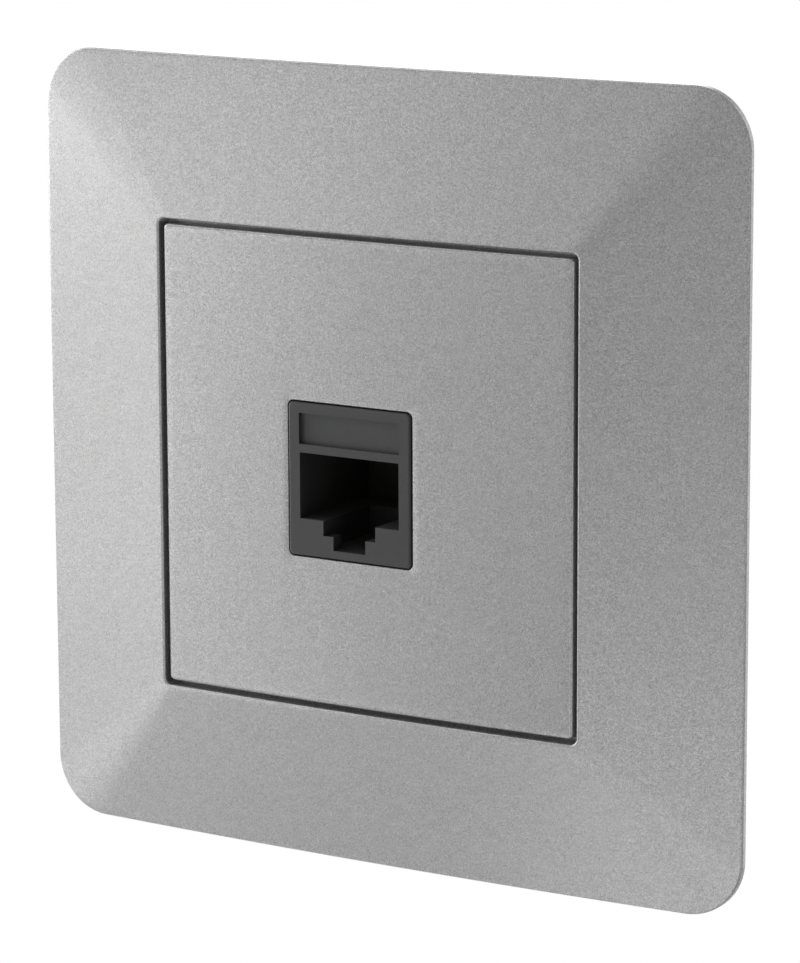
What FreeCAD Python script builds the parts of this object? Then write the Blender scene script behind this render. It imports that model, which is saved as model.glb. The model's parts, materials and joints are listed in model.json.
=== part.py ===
import FreeCAD, Part
import os
import Sketcher
from FreeCAD import Vector

# Flush wall outlet with one eight-way modular jack in a keystone carrier.
# X runs to the right seen from the room, Y into the wall and Z up, in millimetres.
# The origin is the middle of the box screws on the wall plane, so the front faces -Y.

doc = FreeCAD.newDocument("wall_outlet")
sheet = doc.addObject("Spreadsheet::Sheet", "sizes")

SIZES = [
    # cover frame
    ("frame_width", 83.2, "outer side of the square frame"),
    ("corner_radius", 6.2, "outer corners seen from the room"),
    ("rim_height", 2.6, "wall to front edge at the left and right sides"),
    ("rim_inset", 1.9, "bevel from the side wall to the wall plane"),
    ("rim_round", 0.3, "rounded front edge of the rim"),
    ("crest_rise", 3.1, "rise of the slopes from the rim to the opening"),
    ("crest_round", 0.3, "rounded edge of the opening"),
    ("crown_radius", 659.0, "bow of the front from left to right"),
    ("crease_inner", 1.2, "softness of a mitre at the opening"),
    ("crease_outer", 42.0, "softness of a mitre at the outer corner"),
    ("frame_wall", 1.6, "thickness of the slopes"),
    ("skirt_wall", 1.5, "thickness of the frame at the wall plane"),
    ("collar_wall", 1.4, "wall round the opening"),
    ("ledge_width", 2.2, "ledge that the plate presses on"),
    ("ledge_thickness", 1.4, "thickness of that ledge"),
    ("opening_corner", 0.75, "corner radius of the opening"),
    ("rib_thickness", 1.2, "ribs behind the slopes"),
    ("rib_offset", 15.0, "ribs from the middle of each side"),
    ("rib_play", 0.6, "foot of the ribs in front of the support's beads"),
    ("roof_inset", 3.0, "slopes of the front's block inside the opening"),
    ("roof_beyond", 1.5, "slopes of the front's block outside the frame"),
    ("roof_foot", 4.0, "front's block behind the wall plane"),
    ("cut_over", 1.0, "run of a cutting block past what it cuts"),
    # centre plate
    ("plate_width", 48.7, "side of the square plate"),
    ("plate_gap", 0.48, "gap between plate and frame"),
    ("plate_drop", 0.19, "plate below the crest of the frame"),
    ("plate_thickness", 2.3, "thickness at the middle"),
    ("plate_corner", 0.6, "corner radius of the plate"),
    ("plate_round", 0.45, "rounded front edge of the plate"),
    ("hook_x", 13.0, "plate hooks from the middle, sideways"),
    ("hook_clear", 0.5, "barb to the ledge of the frame"),
    ("hook_width", 6.0, "width of a hook"),
    ("hook_thickness", 1.4, "thickness of a hook's leg"),
    ("hook_catch", 0.8, "reach of a hook's barb"),
    ("hook_tip", 2.2, "barb behind the support, along the depth"),
    ("hook_play", 0.15, "barb to the back of the support"),
    ("guide_wall", 1.2, "guide frame behind the jack window"),
    ("guide_depth", 1.2, "depth of that guide frame"),
    # steel support
    ("sheet_thickness", 1.0, "steel sheet of the support"),
    ("support_corner", 5.0, "corner radius of the support"),
    ("screw_pitch", 60.0, "box screws, middle to middle"),
    ("slot_width", 3.6, "width of a box screw slot"),
    ("slot_length", 6.4, "length of a box screw slot"),
    ("slot_margin", 2.3, "slot to the edge of the support"),
    ("aperture_play", 0.8, "carrier in the middle cut-out, sideways"),
    ("aperture_room", 1.2, "carrier in the middle cut-out, up and down"),
    ("aperture_corner", 1.2, "corner radius of that cut-out"),
    ("lip_length", 30.0, "folded lip along the cut-out"),
    ("lip_depth", 4.0, "depth of the lip behind the sheet"),
    ("lip_corner", 1.2, "corner radius of a lip's free edge"),
    ("bend_radius", 0.4, "inside of a lip's bend"),
    ("relief_width", 1.2, "relief slit at each end of a lip"),
    ("relief_past", 0.6, "relief slit past the bend"),
    ("hook_hole_play", 0.4, "room round a plate hook"),
    ("emboss_margin", 8.5, "stiffening beads to the edge of the support"),
    ("emboss_offset", 16.0, "beads from the middle of each side"),
    ("emboss_length", 14.0, "length of a bead"),
    ("emboss_width", 2.6, "width of a bead at the front"),
    ("emboss_wall", 0.5, "flank of a bead, from ridge to groove"),
    ("emboss_height", 0.4, "bead in front of the sheet"),
    # keystone carrier
    ("flange_margin", 0.8, "plastic rivets to the edge of the flange"),
    ("flange_corner", 1.5, "corner radius of the flange"),
    ("flange_lap", 2.0, "flange over the steel beside its tabs"),
    ("flange_thickness", 1.8, "carrier flange in front of the steel"),
    ("carrier_wall", 1.7, "walls round the jack"),
    ("carrier_depth", 9.0, "side walls behind the wall plane"),
    ("carrier_lead", 0.5, "bevel inside the side walls for the jack"),
    ("catch_depth", 1.4, "top and bottom walls behind the wall plane"),
    ("cheek_thickness", 2.0, "bearing cheeks of the claws"),
    ("cheek_round", 2.7, "outer radius of a cheek round its bearing"),
    ("stake_x", 6.5, "plastic rivets from the middle, sideways"),
    ("stake_clear", 0.2, "rivet heads to the bend of the lips"),
    ("stake_play", 0.05, "rivet in its hole"),
    ("stake_radius", 1.2, "shank of a plastic rivet"),
    ("stake_head", 2.0, "head radius of a plastic rivet"),
    ("stake_head_height", 1.1, "head height of a plastic rivet"),
    ("stake_bevel", 0.5, "bevelled edge of that head"),
    # claws and their screws
    ("pivot_x", 16.2, "claw hinge from the middle"),
    ("pivot_depth", 6.5, "claw hinge behind the wall plane"),
    ("bead_radius", 1.1, "rolled end of a claw"),
    ("bearing_play", 0.15, "rolled end in its bearing"),
    ("claw_thickness", 1.4, "steel strip of a claw"),
    ("claw_width", 9.6, "width of a claw strip"),
    ("claw_play", 0.4, "strip to each cheek"),
    ("claw_depth", 21.5, "tip of a claw behind the wall plane"),
    ("claw_web", 1.25, "claw strip outside its screw hole"),
    ("claw_bend", 1.0, "inner radius of the claw's bend"),
    ("tooth_length", 3.2, "outward teeth, along the depth"),
    ("tooth_reach", 1.5, "outward reach of the teeth"),
    ("tooth_gap", 4.8, "gap between the two teeth"),
    ("claw_screw_margin", 1.5, "steel between the cut-out and a claw screw"),
    ("claw_screw_radius", 1.5, "shank of a claw screw"),
    ("claw_screw_length", 20.0, "shank behind the wall plane"),
    ("claw_head_radius", 2.7, "head of a claw screw"),
    ("claw_head_height", 1.6, "height of that head"),
    ("head_play", 0.05, "head to the steel"),
    ("head_bevel", 0.4, "bevelled edge of the head"),
    ("drive_width", 0.8, "driving slot in the head"),
    ("drive_depth", 0.8, "depth of that slot"),
    ("screw_play", 0.3, "room round a claw screw"),
    ("claw_slot_extra", 0.75, "lengthening of the claw's screw hole for the swing"),
    # jack
    ("jack_x", -1.45, "jack from the middle, sideways"),
    ("jack_z", -0.85, "jack from the middle, upwards"),
    ("jack_width", 14.6, "face of the jack, sideways"),
    ("jack_height", 16.0, "face of the jack, up and down"),
    ("jack_depth", 16.0, "housing from its face to its back"),
    ("jack_proud", 0.12, "face in front of the plate"),
    ("jack_corner", 0.5, "corner radius of the face"),
    ("jack_round", 0.25, "rounded edge of the face"),
    ("jack_play", 0.15, "jack to the plate and the carrier"),
    ("label_width", 12.0, "label field, sideways"),
    ("label_height", 3.25, "label field, up and down"),
    ("label_base", 3.67, "middle of the jack to the foot of the label field"),
    ("label_depth", 0.45, "depth of the label field"),
    ("plug_width", 11.85, "plug opening, sideways"),
    ("plug_top", 2.8, "middle of the jack to the top of the opening"),
    ("plug_height", 6.9, "wide part of the opening"),
    ("plug_depth", 13.4, "depth of the opening"),
    ("step_width", 6.25, "first step of the latch notch"),
    ("step_height", 1.57, "height of that step"),
    ("notch_width", 3.85, "second step of the latch notch"),
    ("notch_height", 1.44, "height of that step"),
    ("notch_depth", 9.0, "depth of both steps"),
    ("notch_lip", 1.5, "face wall that the plug's latch catches behind"),
    ("insert_width", 12.4, "contact insert, sideways"),
    ("insert_base", 3.0, "middle of the jack to the foot of the insert"),
    ("insert_height", 3.6, "contact insert, up and down"),
    ("insert_front", 6.4, "face of the jack to the front of the insert"),
    ("insert_play", 0.1, "insert in its pocket"),
    ("pocket_front", 4.6, "face of the jack to the insert's pocket"),
    ("hook_reach", 0.75, "catches of the jack over the carrier"),
    ("hook_nose", 1.2, "thickness of the catches"),
    ("stop_reach", 1.3, "rear stop under the jack"),
    ("stop_length", 3.0, "length of that stop"),
    ("latch_gap", 0.7, "flexing gap under the top latch"),
    ("latch_thickness", 1.0, "top latch"),
    ("latch_width", 7.0, "width of the top latch"),
    ("latch_root", 2.2, "root of the top latch at the back"),
    # contacts, board and terminals
    ("wire_side", 0.44, "square section of a contact wire"),
    ("wire_pitch", 1.016, "contact wires, middle to middle"),
    ("wire_level", 4.9, "middle of the jack to the upper run of a wire"),
    ("wire_turn", 0.85, "bend of a wire at its front"),
    ("wire_front", 6.2, "face of the jack to the middle of that bend"),
    ("wire_slope", 25.0, "slope of the free end, in degrees"),
    ("wire_free", 6.6, "length of the sloping free end"),
    ("wire_play", 0.07, "wire in its groove"),
    ("board_width", 13.2, "circuit board, sideways"),
    ("board_height", 15.0, "circuit board, up and down"),
    ("board_thickness", 1.6, "circuit board"),
    ("board_play", 0.15, "board in the block's skirt"),
    ("tail_length", 0.8, "wire tails behind the board"),
    ("tail_hole", 0.74, "side of a wire's hole in the board"),
    ("block_width", 16.2, "terminal block, sideways"),
    ("block_height", 18.0, "terminal block, up and down"),
    ("block_base", 3.0, "base of the terminal block"),
    ("block_corner", 0.6, "outer corner radius of the block and its towers"),
    ("tower_height", 10.4, "towers behind the base"),
    ("tower_width", 4.7, "width of a row of towers"),
    ("terminal_pitch", 4.4, "wire slots, middle to middle"),
    ("terminal_slot", 1.1, "width of a wire slot"),
    ("terminal_mouth", 2.9, "mouth of a wire slot"),
    ("mouth_depth", 1.5, "depth of that mouth"),
    ("terminal_depth", 7.4, "depth of a wire slot"),
    ("blade_width", 3.0, "terminal blade"),
    ("blade_thickness", 0.4, "thickness of a blade"),
    ("blade_play", 0.1, "blade in its pocket"),
    ("blade_sink", 1.8, "blade below the top of the towers"),
    ("blade_slit", 0.4, "slit of a blade"),
    ("slit_depth", 5.2, "depth of that slit"),
    ("blade_tail", 0.6, "tail of a blade"),
    ("blade_hole", 1.1, "side of a blade's hole in the board"),
    ("cap_wall", 0.8, "walls of a wire cap"),
    ("cap_roof", 1.1, "roof of a wire cap"),
    ("cap_depth", 4.8, "height of a wire cap"),
    ("cap_corner", 0.9, "outer corner radius of a cap"),
    ("cap_bevel", 0.4, "bevelled edge of a cap's roof"),
    ("cap_play", 0.1, "cap on the towers"),
    ("cap_notch", 2.0, "wire notches of a cap"),
    ("cap_notch_depth", 2.6, "depth of those notches"),
]

for row, (alias, number, note) in enumerate(SIZES, start=1):
    sheet.set("A%d" % row, note)
    sheet.set("B%d" % row, str(number))
    sheet.setAlias("B%d" % row, alias)
doc.recompute()

# Heights in front of the wall plane and depths that several pieces share.
HALF = "(sizes.frame_width / 2)"
OPENING = "(sizes.plate_width + 2 * sizes.plate_gap)"
BOW = "(sizes.frame_width ^ 2 / (8 * sizes.crown_radius))"
RIM = "(sizes.rim_height + %s)" % BOW
CREST = "(%s + sizes.crest_rise)" % RIM
PLATE_TOP = "(%s - sizes.plate_drop)" % CREST
PLATE_SEAT = "(%s - sizes.plate_thickness)" % PLATE_TOP
LEDGE_FOOT = "(%s - sizes.ledge_thickness)" % PLATE_SEAT
JACK_FACE = "(%s + sizes.jack_proud)" % PLATE_TOP
CARRIER_FACE = "(sizes.sheet_thickness + sizes.flange_thickness)"
BORDER = "(%s - %s / 2)" % (HALF, OPENING)
BOARD_BACK = "(sizes.jack_depth + sizes.board_thickness)"
TOWER_FOOT = "(%s + sizes.block_base)" % BOARD_BACK
TOWER_TOP = "(%s + sizes.tower_height)" % TOWER_FOOT
ROW_X = "(sizes.block_width / 2 - sizes.tower_width / 2)"
CHEEK_INNER = "(sizes.claw_width / 2 + sizes.claw_play)"
CHEEK_OUTER = "(%s + sizes.cheek_thickness)" % CHEEK_INNER
BEARING = "(sizes.bead_radius + sizes.bearing_play)"
LATCH_TOP = "(sizes.jack_height / 2 + sizes.latch_gap + sizes.latch_thickness)"
BOX_LEFT = "(sizes.jack_x - sizes.jack_width / 2 - sizes.jack_play - sizes.carrier_wall)"
BOX_RIGHT = "(sizes.jack_x + sizes.jack_width / 2 + sizes.jack_play + sizes.carrier_wall)"
BOX_LOW = "(sizes.jack_z - sizes.jack_height / 2 - sizes.jack_play - sizes.carrier_wall)"
BOX_HIGH = "(sizes.jack_z + %s + sizes.jack_play + sizes.carrier_wall)" % LATCH_TOP
CUT_LOW = "(%s - sizes.aperture_room)" % BOX_LOW
CUT_HIGH = "(%s + sizes.aperture_room)" % BOX_HIGH
BEND = "(sizes.sheet_thickness + sizes.bend_radius)"
STAKE_STEP = "(%s + sizes.stake_head + sizes.stake_clear)" % BEND
STAKE_LOW = "(%s - %s)" % (CUT_LOW, STAKE_STEP)
STAKE_HIGH = "(%s + %s)" % (CUT_HIGH, STAKE_STEP)
FLANGE_LOW = "(%s - sizes.stake_head - sizes.flange_margin)" % STAKE_LOW
FLANGE_HIGH = "(%s + sizes.stake_head + sizes.flange_margin)" % STAKE_HIGH
FLANGE_X = "(sizes.pivot_x + sizes.cheek_round)"
TAB_X = "(sizes.stake_x + sizes.stake_head + sizes.flange_margin)"
LAP_LOW = "(%s - sizes.flange_lap)" % CUT_LOW
LAP_HIGH = "(%s + sizes.flange_lap)" % CUT_HIGH
CUT_X = "(%s + sizes.aperture_play)" % FLANGE_X
SCREW_ROOM = "(sizes.claw_screw_radius + sizes.screw_play)"
CLAW_SCREW_X = "(%s + sizes.claw_screw_margin + %s)" % (CUT_X, SCREW_ROOM)
CLAW_SLOT = "(2 * (%s + sizes.claw_slot_extra))" % SCREW_ROOM
CLAW_REACH = "(%s + %s / 2 + sizes.claw_web + sizes.claw_thickness)" % (CLAW_SCREW_X, CLAW_SLOT)
SUPPORT = "(sizes.screw_pitch + sizes.slot_length + 2 * sizes.slot_margin)"
EMBOSS = "(%s / 2 - sizes.emboss_margin)" % SUPPORT
RIB_FOOT = "(sizes.sheet_thickness + sizes.emboss_height + sizes.rib_play)"
HOOK_Z = "(%s / 2 - sizes.ledge_width - sizes.hook_catch - sizes.hook_clear)" % OPENING

CONTACTS = 8
ROW_TERMINALS = 4
NEAR = 0.01


def value(expression):
    """Number that an expression of the sheet gives."""
    result = sheet.evalExpression(expression)
    return float(getattr(result, "Value", result))


def new_body(name, x="0", y="0", z="0"):
    """Body with its label, placed by expressions."""
    body = doc.addObject("PartDesign::Body", name)
    body.Label = name
    for axis, place in (("x", x), ("y", y), ("z", z)):
        body.setExpression("Placement.Base.%s" % axis, place)
    return body


def jack_body(name):
    """Body whose own origin is the middle of the jack's face."""
    return new_body(name, "sizes.jack_x", "-%s" % JACK_FACE, "sizes.jack_z")


def sketch_on(body, plane, lift="0"):
    """Sketch on one of the body's own planes, lifted along the plane's normal."""
    sketch = body.newObject("Sketcher::SketchObject", body.Name + "_sketch")
    origin = next(f for f in body.Origin.OriginFeatures if f.Role == plane + "_Plane")
    sketch.AttachmentSupport = (origin, "")
    sketch.MapMode = "FlatFace"
    sketch.setExpression("AttachmentOffset.Base.z", lift)
    return sketch


def dimension(sketch, kind, references, expression):
    """Dimension of a sketch bound to an expression."""
    index = sketch.addConstraint(Sketcher.Constraint(kind, *references, value(expression)))
    sketch.setExpression("Constraints[%d]" % index, expression)


def locate(sketch, element, point, x, y):
    """Place one point of a sketch by two expressions."""
    dimension(sketch, "DistanceX", (-1, 1, element, point), x)
    dimension(sketch, "DistanceY", (-1, 1, element, point), y)


def polygon(sketch, corners):
    """Closed outline through corners that are pairs of expressions."""
    first = sketch.GeometryCount
    points = [Vector(value(x), value(y), 0) for x, y in corners]
    count = len(points)
    for start, end in zip(points, points[1:] + points[:1]):
        sketch.addGeometry(Part.LineSegment(start, end))
    for i in range(count):
        joint = Sketcher.Constraint("Coincident", first + i, 2, first + (i + 1) % count, 1)
        sketch.addConstraint(joint)
    for i, (x, y) in enumerate(corners):
        locate(sketch, first + i, 1, x, y)


def rectangle(sketch, x, y, width, height):
    """Rectangle about a middle point."""
    left = "%s - %s / 2" % (x, width)
    right = "%s + %s / 2" % (x, width)
    low = "%s - %s / 2" % (y, height)
    high = "%s + %s / 2" % (y, height)
    polygon(sketch, [(left, low), (right, low), (right, high), (left, high)])


def circle(sketch, x, y, radius):
    """Circle about a middle point."""
    middle = Vector(value(x), value(y), 0)
    element = sketch.addGeometry(Part.Circle(middle, Vector(0, 0, 1), value(radius)))
    locate(sketch, element, 3, x, y)
    dimension(sketch, "Radius", (element,), radius)


def slot(sketch, x, y, length, width, upright=False):
    """Round-ended slot about a middle point, lying or upright."""
    half = "(%s - %s) / 2" % (length, width)
    ends = [("%s + %s" % (x, half), y), ("%s - %s" % (x, half), y)]
    if upright:
        ends = [(x, "%s + %s" % (y, half)), (x, "%s - %s" % (y, half))]
    radius = "%s / 2" % width
    near, far = [Vector(value(a), value(b), 0) for a, b in ends]
    along = (near - far).normalize()
    side = Vector(-along.y, along.x, 0) * value(radius)
    reach = along * value(radius)
    first = sketch.GeometryCount
    sketch.addGeometry(Part.Arc(near - side, near + reach, near + side))
    sketch.addGeometry(Part.LineSegment(near + side, far + side))
    sketch.addGeometry(Part.Arc(far + side, far - reach, far - side))
    sketch.addGeometry(Part.LineSegment(far - side, near - side))
    for i in range(4):
        joint = Sketcher.Constraint("Tangent", first + i, 2, first + (i + 1) % 4, 1)
        sketch.addConstraint(joint)
    locate(sketch, first, 3, *ends[0])
    locate(sketch, first + 2, 3, *ends[1])
    dimension(sketch, "Radius", (first,), radius)


def pad(body, sketch, length, reverse=False, centred=False):
    """Solid of a sketch along the plane's normal."""
    feature = body.newObject("PartDesign::Pad", body.Name + "_pad")
    feature.Profile = sketch
    feature.setExpression("Length", length)
    feature.Reversed = reverse
    feature.SideType = "Symmetric" if centred else "One side"
    doc.recompute()
    return feature


def pocket(body, sketch, depth, reverse=False, centred=False):
    """Cut of a sketch against the plane's normal, which has to remove something."""
    before = body.Shape.Volume
    feature = body.newObject("PartDesign::Pocket", body.Name + "_pocket")
    feature.Profile = sketch
    feature.setExpression("Length", depth)
    feature.Reversed = reverse
    feature.SideType = "Symmetric" if centred else "One side"
    doc.recompute()
    if body.Shape.Volume >= before:
        raise RuntimeError("%s cuts nothing" % feature.Name)
    return feature


def mirror(body, features, plane):
    """Mirror features of a body at one of its own planes."""
    feature = body.newObject("PartDesign::Mirrored", body.Name + "_mirror")
    origin = next(f for f in body.Origin.OriginFeatures if f.Role == plane + "_Plane")
    feature.Originals = features
    feature.MirrorPlane = (origin, [""])
    body.Tip = feature
    doc.recompute()
    return feature


def edge_names(shape, wanted):
    """Names of the edges that a test picks."""
    return ["Edge%d" % i for i, edge in enumerate(shape.Edges, start=1) if wanted(edge)]


def dress(body, kind, size, wanted):
    """Fillet or chamfer the edges of a body that a test picks."""
    base = body.Tip
    names = edge_names(base.Shape, wanted)
    if not names:
        raise RuntimeError("%s has no edge to dress" % body.Name)
    feature = body.newObject("PartDesign::" + kind, body.Name + "_" + kind.lower())
    feature.Base = (base, names)
    feature.setExpression("Radius" if kind == "Fillet" else "Size", size)
    doc.recompute()
    return feature


def runs_along(edge, axis):
    """True for a straight edge along one axis."""
    box = edge.BoundBox
    spans = {"x": box.XLength, "y": box.YLength, "z": box.ZLength}
    return all((span > NEAR) == (name == axis) for name, span in spans.items())


def on_outline(edge, half, radius):
    """True for an edge that lies on the wall of a rounded square seen from the room."""
    for parameter in (edge.FirstParameter, edge.LastParameter):
        point = edge.valueAt(parameter)
        across = abs(point.x) - (half - radius)
        up = abs(point.z) - (half - radius)
        rest = max(across, up) if min(across, up) < 0 else (across ** 2 + up ** 2) ** 0.5
        if abs(rest - radius) > 2 * NEAR:
            return False
    return not runs_along(edge, "y")


def boolean(kind, name, pieces):
    """Part boolean of document objects."""
    feature = doc.addObject("Part::" + kind, name)
    if kind == "Cut":
        feature.Base, feature.Tool = pieces
    else:
        feature.Shapes = pieces
    doc.recompute()
    return feature


def roof(name, lower):
    """Bowed block with four slopes, lowered from the frame's front face."""
    inner = "(%s / 2 - sizes.roof_inset)" % OPENING
    rise = "(sizes.crest_rise / %s)" % BORDER
    side_rise = "((%s - %s ^ 2 / (8 * sizes.crown_radius) - sizes.rim_height) / %s)" % (
        CREST, OPENING, BORDER)

    def level(start, slope, half):
        return "(%s + %s * (%s - %s) - %s)" % (start, slope, HALF, half, lower)

    outer = "(%s + sizes.roof_beyond)" % HALF
    foot = "sizes.roof_foot"
    bowed = new_body(name + "_bowed")
    section = sketch_on(bowed, "YZ")
    low = "-%s" % level(RIM, rise, outer)
    high = "-%s" % level(RIM, rise, inner)
    polygon(section, [
        (foot + " + sizes.cut_over", "-%s" % outer), (low, "-%s" % outer), (high, "-%s" % inner),
        (high, inner), (low, outer), (foot + " + sizes.cut_over", outer)])
    axis = Vector(value("sizes.crown_radius - %s" % RIM), 0, 0)
    line = sketch_axis(section, axis, "sizes.crown_radius - %s" % RIM)
    turn = bowed.newObject("PartDesign::Revolution", name + "_turn")
    turn.Profile = section
    turn.ReferenceAxis = (section, [line])
    turn.setExpression("Angle", "2 * asin((%s + sizes.cut_over) / sizes.crown_radius)" % outer)
    turn.Midplane = True

    sloped = new_body(name + "_sloped")
    section = sketch_on(sloped, "XY")
    low = "-%s" % level("sizes.rim_height", side_rise, outer)
    high = "-%s" % level("sizes.rim_height", side_rise, inner)
    polygon(section, [
        ("-%s" % outer, foot), ("-%s" % outer, low), ("-%s" % inner, high),
        (inner, high), (outer, low), (outer, foot)])
    pad(sloped, section, "2 * %s" % outer, centred=True)
    return boolean("MultiCommon", name, [bowed, sloped])


def sketch_axis(sketch, point, x):
    """Upright construction line of a sketch, named for a revolution."""
    element = sketch.addGeometry(Part.LineSegment(point, point + Vector(0, 1, 0)), True)
    locate(sketch, element, 1, x, "0")
    locate(sketch, element, 2, x, "1")
    return "Axis0"


def soften_creases(block):
    """Round the four mitres, tight at the opening and wide at the outer corners."""
    feature = doc.addObject("Part::Fillet", "frame_creases")
    feature.Base = block
    edges = []
    long = value(BORDER) / 2
    for i, edge in enumerate(block.Shape.Edges, start=1):
        if edge.BoundBox.XLength > long and edge.BoundBox.ZLength > long:
            start, end = edge.Vertexes[0].Point, edge.Vertexes[-1].Point
            radii = (value("sizes.crease_inner"), value("sizes.crease_outer"))
            if abs(start.x) > abs(end.x):
                radii = radii[::-1]
            edges.append((i,) + radii)
    feature.Edges = edges
    doc.recompute()
    return feature


def cover_frame():
    """Sloped frame, hollow behind, with a collar and a ledge round the opening."""
    outline = new_body("frame_outline")
    section = sketch_on(outline, "XZ")
    rectangle(section, "0", "0", "sizes.frame_width", "sizes.frame_width")
    pad(outline, section, "%s + sizes.cut_over" % CREST)
    dress(outline, "Fillet", "sizes.corner_radius", lambda edge: runs_along(edge, "y"))
    dress(outline, "Chamfer", "sizes.rim_inset", lambda edge: edge.BoundBox.YMin > -NEAR)
    front = soften_creases(roof("frame_front", "0"))
    block = boolean("MultiCommon", "frame_block", [front, outline])

    hollow_outline = new_body("frame_hollow_outline")
    section = sketch_on(hollow_outline, "XZ", "-sizes.cut_over")
    inner = "(sizes.frame_width - 2 * (sizes.rim_inset + sizes.skirt_wall))"
    rectangle(section, "0", "0", inner, inner)
    pad(hollow_outline, section, "%s + 2 * sizes.cut_over" % CREST)
    dress(hollow_outline, "Fillet", "sizes.corner_radius - sizes.skirt_wall",
          lambda edge: runs_along(edge, "y"))
    under = roof("frame_under", "sizes.frame_wall")
    hollow = boolean("MultiCommon", "frame_hollow", [under, hollow_outline])

    kept = new_body("frame_collar")
    section = sketch_on(kept, "XZ", LEDGE_FOOT)
    collar = "(%s + 2 * sizes.collar_wall)" % OPENING
    rectangle(section, "0", "0", collar, collar)
    pad(kept, section, "2 * %s" % CREST)
    ribs = new_body("frame_ribs")
    section = sketch_on(ribs, "XZ", RIB_FOOT)
    for side in ("-", ""):
        place = "%ssizes.rib_offset" % side
        rectangle(section, place, "0", "sizes.rib_thickness", "sizes.frame_width")
    pad(ribs, section, "2 * %s" % CREST)
    section = sketch_on(ribs, "XZ", RIB_FOOT)
    for side in ("-", ""):
        place = "%ssizes.rib_offset" % side
        rectangle(section, "0", place, "sizes.frame_width", "sizes.rib_thickness")
    pad(ribs, section, "2 * %s" % CREST)
    section = sketch_on(ribs, "XZ", RIB_FOOT)
    rectangle(section, "0", "0", collar, collar)
    pocket(ribs, section, "2 * %s" % CREST, reverse=True)
    cavity = boolean("Cut", "frame_cavity_over_collar", [hollow, kept])
    cavity = boolean("Cut", "frame_cavity", [cavity, ribs])
    shell = boolean("Cut", "frame_shell", [block, cavity])

    body = new_body("cover_frame")
    body.BaseFeature = shell
    doc.recompute()
    rim = -value("(sizes.rim_inset + sizes.rim_height) / 2")
    dress(body, "Fillet", "sizes.rim_round", lambda edge: (
        edge.BoundBox.YMax < rim and on_outline(edge, value(HALF), value("sizes.corner_radius"))))
    section = sketch_on(body, "XZ", PLATE_SEAT)
    rectangle(section, "0", "0", OPENING, OPENING)
    pocket(body, section, "2 * %s" % CREST, reverse=True)
    half = value("%s / 2" % OPENING)
    upper = -value("(%s + %s) / 2" % (PLATE_SEAT, CREST))
    dress(body, "Fillet", "sizes.opening_corner", lambda edge: (
        runs_along(edge, "y") and edge.BoundBox.YMin < upper
        and abs(abs(edge.BoundBox.XMin) - half) < NEAR
        and abs(abs(edge.BoundBox.ZMin) - half) < NEAR))
    dress(body, "Fillet", "sizes.crest_round", lambda edge: (
        edge.BoundBox.YMax < upper and on_outline(edge, half, value("sizes.opening_corner"))))
    section = sketch_on(body, "XZ", PLATE_SEAT)
    through = "(%s - 2 * sizes.ledge_width)" % OPENING
    rectangle(section, "0", "0", through, through)
    pocket(body, section, PLATE_SEAT)
    return body


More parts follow.
